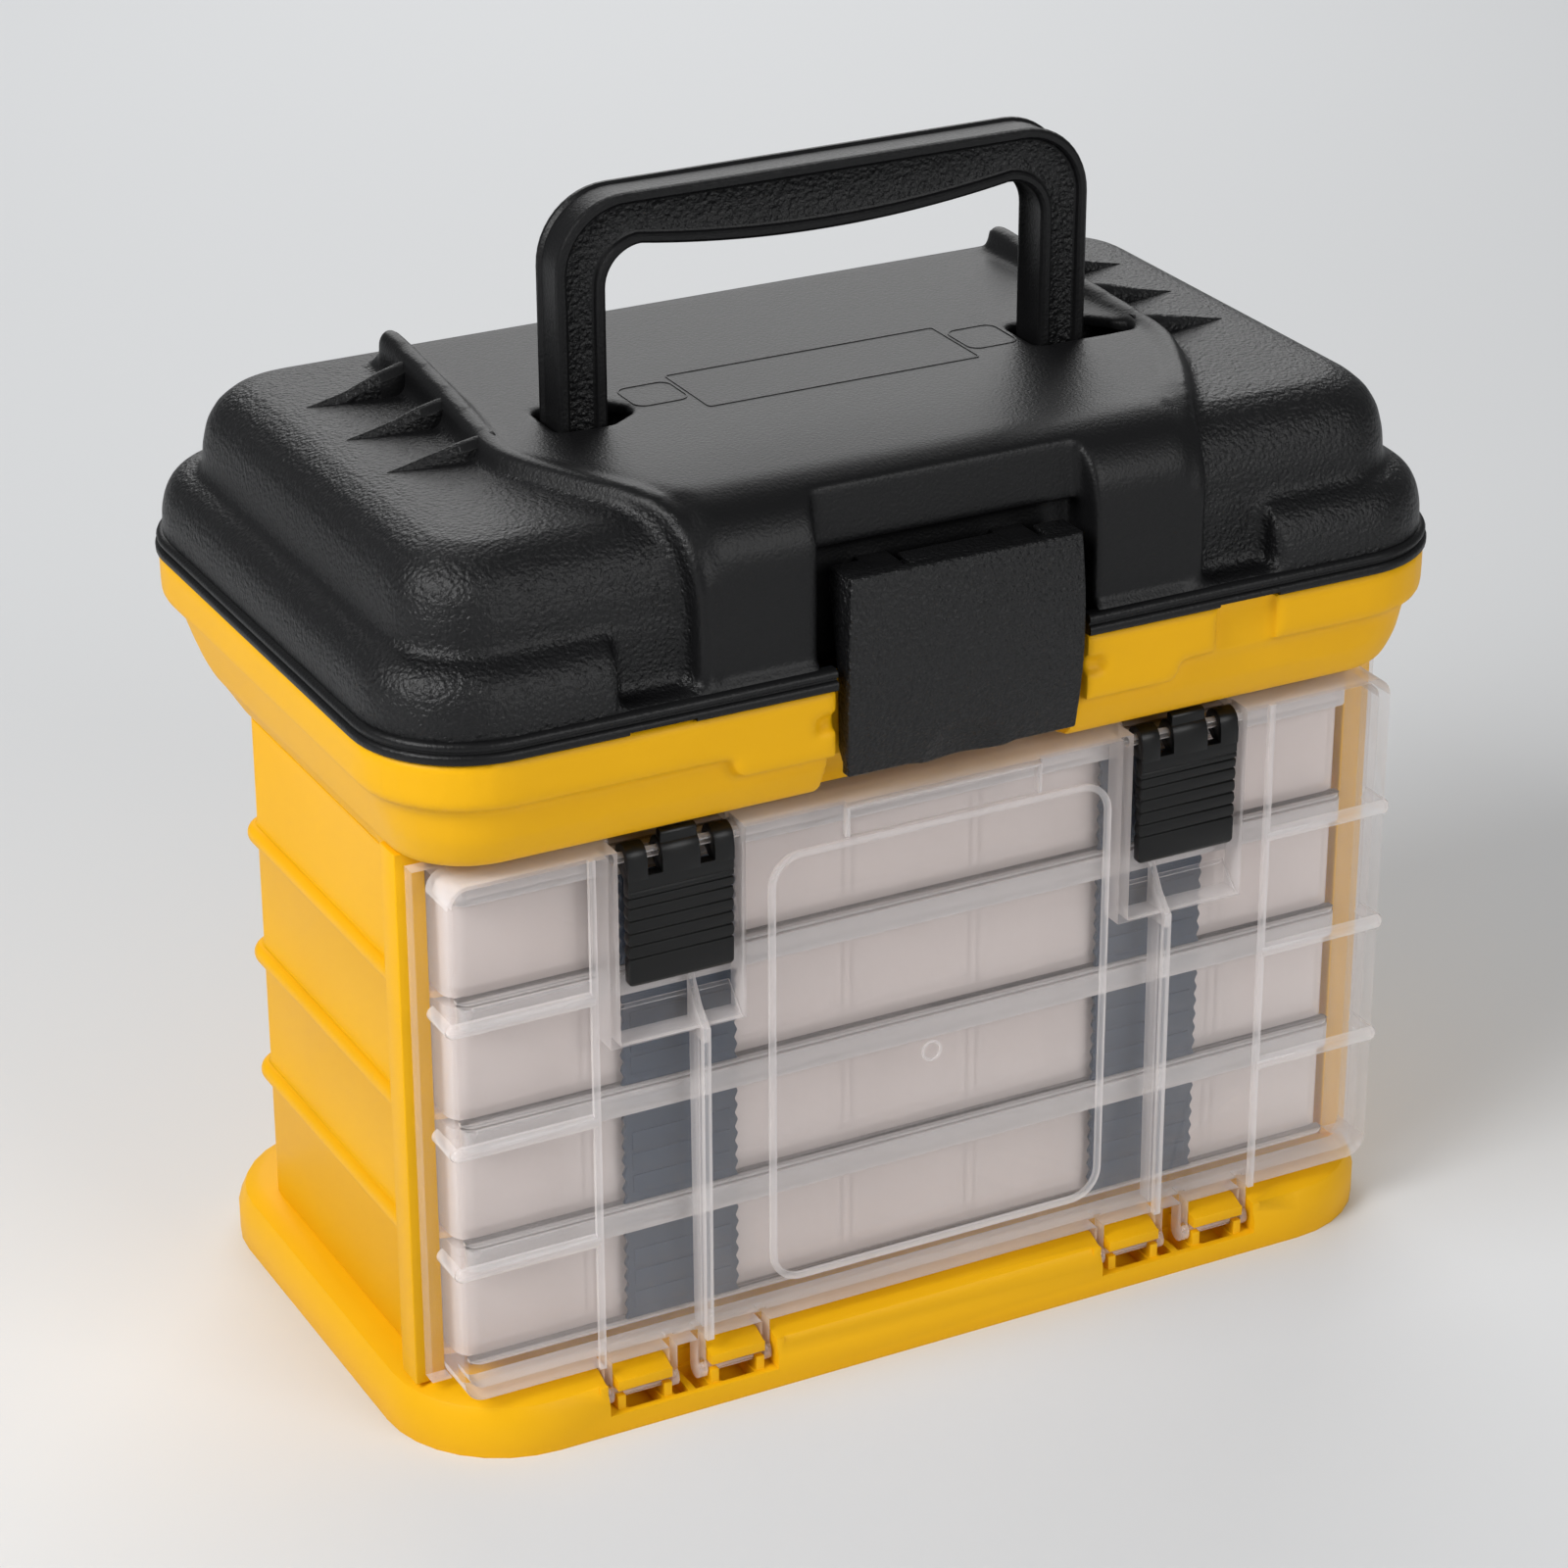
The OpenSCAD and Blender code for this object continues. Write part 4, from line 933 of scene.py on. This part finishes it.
def binDents():
    # the notch for the clasp, the slots at its sides and the gap in the band
    n = binShape["notchHalf"]
    notch = [(-4, 140), (15, 140), (15, 150), (8.2, 158.5), (6, 160), (6, 180), (-4, 180)]
    slots = bothSides([block("slot", (n - 1, -4, 167.2), (n + 5, 2.6, 171.4))])
    return [prism("notch", notch, -n, n, "x")] + slots + [block("gap", (66, -4, 160), (82, 3.4, 176.2))]


def binHollows():
    # the room in the bin, the two under its floor, and the gaps for the lid's knuckles
    cavity = binStack("cavity", [(12, 17, 22, 150.4), (5.6, 6, 6, 166.5), (3.4, 5.2, 3.4, 179)])
    cutWith(cavity, [block("notchWall", (-32.8, -3, 140), (32.8, 8.8, 190))])
    under = planStack("under", [(119.3, 30, 124.8, 4, z) for z in (138, 148)])
    room = block("room", (-123.5, 34, 138), (123.5, 130, 141.2))
    x, y, z = lidPin["x"], lidPin["y"], lidPin["z"]
    gaps = [rod("gap", x0, x1, y, z, 3.8) for x0, x1 in ((x - 5.7, x + 5.7), (-x - 5.7, 5.7 - x))]
    return [cavity, under, room] + gaps


def binSmallParts():
    # the wall and the ridge that the clasp catches on, and the hinge knuckles
    parts = [block("catchWall", (-32.8, 6, 159), (32.8, 8.8, 177)),
             prism("catchRidge", [(6.4, 163.6), (4.2, 164.6), (4.2, 166.2), (6.4, 167.2)], -21.5, 21.5, "x")]
    x, y, z = lidPin["x"], lidPin["y"], lidPin["z"]
    web = [(162, 168.5), (164.6, 168.5), (167.6, 172), (167.6, 177), (162, 177)]
    for x0, x1 in ((x - 16.9, x - 5.9), (x + 5.9, x + 16.9)):
        parts += bothSides([rod("knuckle", x0, x1, y, z, 3.58, 40), prism("web", web, x0, x1, "x")])
    return parts


def makeBin():
    shell = joined("binShell", binOutside())
    moulded(shell, 1)
    cutWith(shell, binDents())
    moulded(shell, binShape["softPasses"])
    cutWith(shell, binHollows())
    small = joined("binSmall", [bevelled(part, 0.4) for part in binSmallParts()])
    finished(joined("binShell", [shell, small]), "cabinet", "yellow", "top_bin", 40)


makeBin()
print("bin made")


# The door's two black latches, and the slate ones on the trays

doorLatch = {"x": 65.6, "half": 13.0, "low": 111.4, "front": 9.65, "back": 12.4, "pinY": 13, "pinZ": 142.2,
             "knuckle": 3.2, "bore": 1.5, "grooves": (7, 10.1, 13.2, 16.3, 19.4), "stepAt": 22.2}
# (height, how far the face is sunk, how much the side is narrowed)
grooveRows = ((-0.32, 0, 0.12), (-0.14, 0.4, 0.3), (0.14, 0.4, 0.3), (0.32, 0, 0.12), (1.5, 0, -0.12))
stepUpRows = ((-0.7, 0, 0), (-0.5, 0.4, 0.15), (-0.1, 0.4, 0.15), (0.1, -0.2, 0), (0.9, -0.2, 0),
              (1.05, -0.02, 0), (1.35, -0.02, 0), (1.5, -0.2, 0))


def latchPlate(x):
    # the grooved plate, from its foot to the step under the knuckles
    d = doorLatch
    rows = [(0, 0.55, 0.9), (0.35, 0.2, 0.35), (1.0, 0, 0.05), (6.4, 0, 0)]
    for at, profile in [(at, grooveRows) for at in d["grooves"]] + [(d["stepAt"], stepUpRows)]:
        rows += [(at + up, sunk, narrow) for up, sunk, narrow in profile]
    rows.append((26.8, -0.2, 0))
    rings = []
    for z, sunk, narrow in rows:
        flare = 0.3 * max(0, (z - 15) / 15) ** 2
        half = d["half"] - narrow
        front, back = d["front"] + sunk + 0.2 - flare, d["back"]
        corners = [(x - half, front), (x + half, front), (x + half, back), (x - half, back)]
        rings.append([(px, py, d["low"] + z) for px, py in roundCorners(corners, 0.45, 3)])
    return loft("latchPlate", rings)


def makeDoorLatch(x, node, name):
    d = doorLatch
    parts = [latchPlate(x)]
    outline = [(9.45, 137.4), (12.4, 137.4), (15.4, 139.9)]
    outline += arc(d["pinY"], d["pinZ"], d["knuckle"], -30, 181, 15) + [(9.5, 141)]
    for x0, x1 in ((-13, -8.2), (-4.6, 4.6), (8.2, 13)):
        knuckle = prism("knuckle", outline, x + x0, x + x1, "x")
        parts.append(cutWith(knuckle, [rod("bore", x - 20, x + 20, d["pinY"], d["pinZ"], d["bore"])]))
    hook = roundCorners([(10.9, 143.2), (13.3, 143.2), (13.3, 147.5), (10.9, 147.5)], [0, 0, 0.7, 1.1], 4)
    parts.append(prism("hook", hook, x - 4.5, x + 4.5, "x"))
    whole = joined(name, [bevelled(part, 0.3, 2, 40) for part in parts])
    finished(whole, node, "latchBlack", node, 40)


trayLatch = {"x": 61.9, "half": 14.6, "front": 18.95, "back": 20.55, "pitch": 30.6, "firstZ": 111.8,
             "low": 0.5, "high": 26.2, "tooth": 0.8, "teeth": 7, "pads": 3, "padHalf": 12.4, "padLow": 3,
             "padPitch": 5.6, "padHigh": 4.6, "rollY": 20.5, "rollZ": 26.6, "rollRadius": 1.5, "bore": 1.0}


def trayLatchOutline(x, z):
    # toothed at both sides, as the real latch's side springs are
    t = trayLatch
    right, left = [], []
    for i in range(t["teeth"] * 2 + 1):
        at = z + t["low"] + (t["high"] - t["low"]) * i / (t["teeth"] * 2)
        out = t["half"] - (t["tooth"] if i % 2 else 0)
        right.append((x + out, at))
        left.append((x - out, at))
    return right + left[::-1]


def makeTrayLatches(i):
    t = trayLatch
    z = t["firstZ"] - (i - 1) * t["pitch"]
    parts = []
    for x in (-t["x"], t["x"]):
        parts.append(prism("plate", trayLatchOutline(x, z), t["front"] + 0.25, t["back"], "y"))
        for k in range(t["pads"]):
            low = z + t["padLow"] + t["padPitch"] * k
            parts.append(block("pad", (x - t["padHalf"], t["front"], low),
                               (x + t["padHalf"], t["front"] + 0.8, low + t["padHigh"])))
        roll = rod("roll", x - t["half"], x + t["half"], t["rollY"], z + t["rollZ"], t["rollRadius"])
        bore = rod("bore", x - 20, x + 20, t["rollY"], z + t["rollZ"], t["bore"])
        parts.append(cutWith(roll, [bore]))
    whole = joined(f"traySnaps{i}", [bevelled(part, 0.25, 2, 40) for part in parts])
    finished(whole, f"tray_{i}", "slate", f"tray_latches_{i}", 40)


makeDoorLatch(-doorLatch["x"], "door_latch_left", "doorLatchLeft")
makeDoorLatch(doorLatch["x"], "door_latch_right", "doorLatchRight")
for i in trayNumbers:
    makeTrayLatches(i)
print("latches made")


# The clear door: the CAD's moulding with soft edges, and the slopes and marks it has besides

doorMarks = {"recess": (50.6, 80.6), "slopeFoot": 97.4, "slopeTop": 104.2, "slopeThick": 1.2, "front": 9.9,
             "back": 16.7, "finHalf": 0.9, "finX": 60.4, "finFront": 8.35, "ribHalf": 0.7, "ribFoot": 18.5,
             "ribTop": 96.4, "ribFront": 11.2, "ribDeep": 16.3, "gateX": -2, "gateZ": 76.5}
# the raised edges of the panel at the door's top middle, each from (x, z) to (x, z)
panelEdges = {"front": 8.5, "back": 10.4,
              "spans": (((24.2, 136.6), (25.2, 144)), ((-25.2, 136.6), (-24.2, 144)),
                        ((-25.2, 143.4), (25.2, 144.2)))}
# the small ring of the moulding mark, as (radius, y)
gateRows = ((2.7, 9.95), (2.6, 9.55), (2.3, 9.5), (2.1, 9.6), (1.9, 9.95))
# which of the door's faces get the painted highlight, in millimetres and square metres
highlightRules = {"raised": 9.75, "endWall": 118, "panelLow": 136, "wideArea": 2e-5, "panelArea": 3e-4}


def doorExtras():
    d = doorMarks
    slope = [(d["front"], d["slopeFoot"]), (d["front"] + d["slopeThick"], d["slopeFoot"]),
             (d["back"], d["slopeTop"] - d["slopeThick"]), (d["back"], d["slopeTop"])]
    fin = [(d["finFront"], 94), (d["back"], 94), (d["back"], 108.6), (d["front"] + 2.6, 101.6),
           (d["finFront"], 97.6)]
    rib = [(d["ribFront"], d["ribFoot"]), (d["ribDeep"] - 0.8, d["ribFoot"]), (d["ribDeep"], d["ribTop"]),
           (d["ribFront"], d["ribTop"])]
    extras = bothSides([prism("slope", slope, *d["recess"], "x"),
                        prism("fin", fin, d["finX"] - d["finHalf"], d["finX"] + d["finHalf"], "x"),
                        prism("innerRib", rib, d["finX"] - d["ribHalf"], d["finX"] + d["ribHalf"], "x")])
    extras += [block("panelEdge", (x0, panelEdges["front"], z0), (x1, panelEdges["back"], z1))
               for (x0, z0), (x1, z1) in panelEdges["spans"]]
    rings = [[(x, y, z) for x, z in circle(d["gateX"], d["gateZ"], r)] for r, y in gateRows]
    return extras + [hoop("gateMark", rings)]


def isDoorHighlightFace(face):
    # rims, ribs and raised faces get a whiter finish than the flat cells and the end walls: a painted
    # highlight for the light they catch
    e, tilt = highlightRules, abs(face.normal.y)
    wide = face.area > e["wideArea"]
    flat = wide and (tilt > 0.6 or abs(face.center.x) > e["endWall"] * mm)
    topPanel = face.area > e["panelArea"] and face.center.z > e["panelLow"] * mm
    raised = depthOf(face) < e["raised"] and not topPanel
    return raised or tilt < 0.93 and not flat


def makeDoor():
    door = bevelled(copyOfNode("front_door", "frontDoor"), 0.3)
    whole = joined("frontDoor", [door] + [bevelled(part, 0.25) for part in doorExtras()])
    finished(whole, "front_door", "clear", "front_door")
    # the whiter finish on the chosen faces is a painted highlight
    secondLook(whole, "clearEdge", isDoorHighlightFace)


makeDoor()
print("door made")


# Pieces whose CAD shape is right, with softened edges: (look, bevel)

softEdges = {}
for i in trayNumbers:
    softEdges[f"tray_{i}"] = ("tray", 0.25)
    softEdges[f"tray_lid_{i}"] = ("tray", 0.25)
    softEdges[f"tray_dividers_{i}"] = ("tray", 0.15)
softEdges["base_plate"] = ("yellow", 0.5)
softEdges["body_shell"] = ("yellow", 0.4)
# the last depth bounds the front faces of the tray parts that get the painted highlight
skirt = {"front": 18.1, "back": 23.4, "thick": 0.75, "drop": 4.0, "rise": 1.6, "endGap": 1.2, "corner": 3,
         "webFront": 22.4, "bead": 0.55, "footFront": 18.7, "footSpan": (-0.35, 0.4), "highlightTo": 21.9}
hingePits = {"spans": ((49.4, 57.9), (61.2, 64.7), (66.5, 70.0), (73.3, 81.8)), "front": 7.8, "back": 17.6,
             "low": 1.8, "high": 5.4}


def lidSkirt(node):
    # the front edge of a tray's lid, turned down over its latches
    s = skirt
    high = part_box(node)[1]
    top, x = high.z / mm, high.x / mm - s["endGap"]
    rim = planStack("lidSkirt", [(x, s["front"], s["back"], s["corner"], z)
                                 for z in (top - s["drop"], top + s["rise"])])
    inside = (x - s["thick"], s["front"] + s["thick"], s["webFront"], s["corner"] - s["thick"])
    hollow = planStack("hollow", [(*inside, top + z) for z in (-2 * s["drop"], s["thick"])])
    beads = [rod("bead", s["corner"] - x, x - s["corner"], s["front"] + s["bead"], z, s["bead"], 16)
             for z in (top - s["drop"] + s["bead"], top + s["rise"] - s["bead"])]
    return joined("lidSkirt", [bevelled(cutWith(rim, [hollow]), 0.25)] + beads)


def trayFoot(node):
    # the lip along the foot of a tray's front
    s = skirt
    low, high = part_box(node)
    z, x = low.z / mm, high.x / mm - s["endGap"]
    return bevelled(planStack("trayFoot", [(x, s["footFront"], s["back"], s["corner"], z + up)
                                           for up in s["footSpan"]]), 0.25)


def withPits(piece):
    # small open pits in the floor of the two hinge cut-outs
    p = hingePits
    fixNormals(piece)
    return cutWith(piece, bothSides([block("pit", (x0, p["front"], p["low"]), (x1, p["back"], p["high"]))
                                     for x0, x1 in p["spans"]]))


def makeCopy(node, look, width):
    words = node.split("_")
    piece = copyOfNode(node, words[0] + "".join(w.title() for w in words[1:]))
    if node == "base_plate":
        withPits(piece)
    bevelled(piece, width)
    addTo = {"tray": trayFoot, "trayLid": lidSkirt}.get(piece.name[:-1])
    if addTo:
        piece = joined(piece.name, [piece, addTo(node)])
    finished(piece, frame["nodes"][node]["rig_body"], look, node)
    if addTo:
        # the front faces of the tray's foot and of its lid's skirt get the whiter finish: a painted highlight
        secondLook(piece, "clearEdge", lambda face: depthOf(face) < skirt["highlightTo"])


for node, (look, width) in softEdges.items():
    makeCopy(node, look, width)
for piece in frame["nodes"].values():
    if not piece.hide_render:
        piece.data.materials.clear()
        piece.data.materials.append(finish["steel"])
print("softened copies made")


# The end of the build


print("scene built")
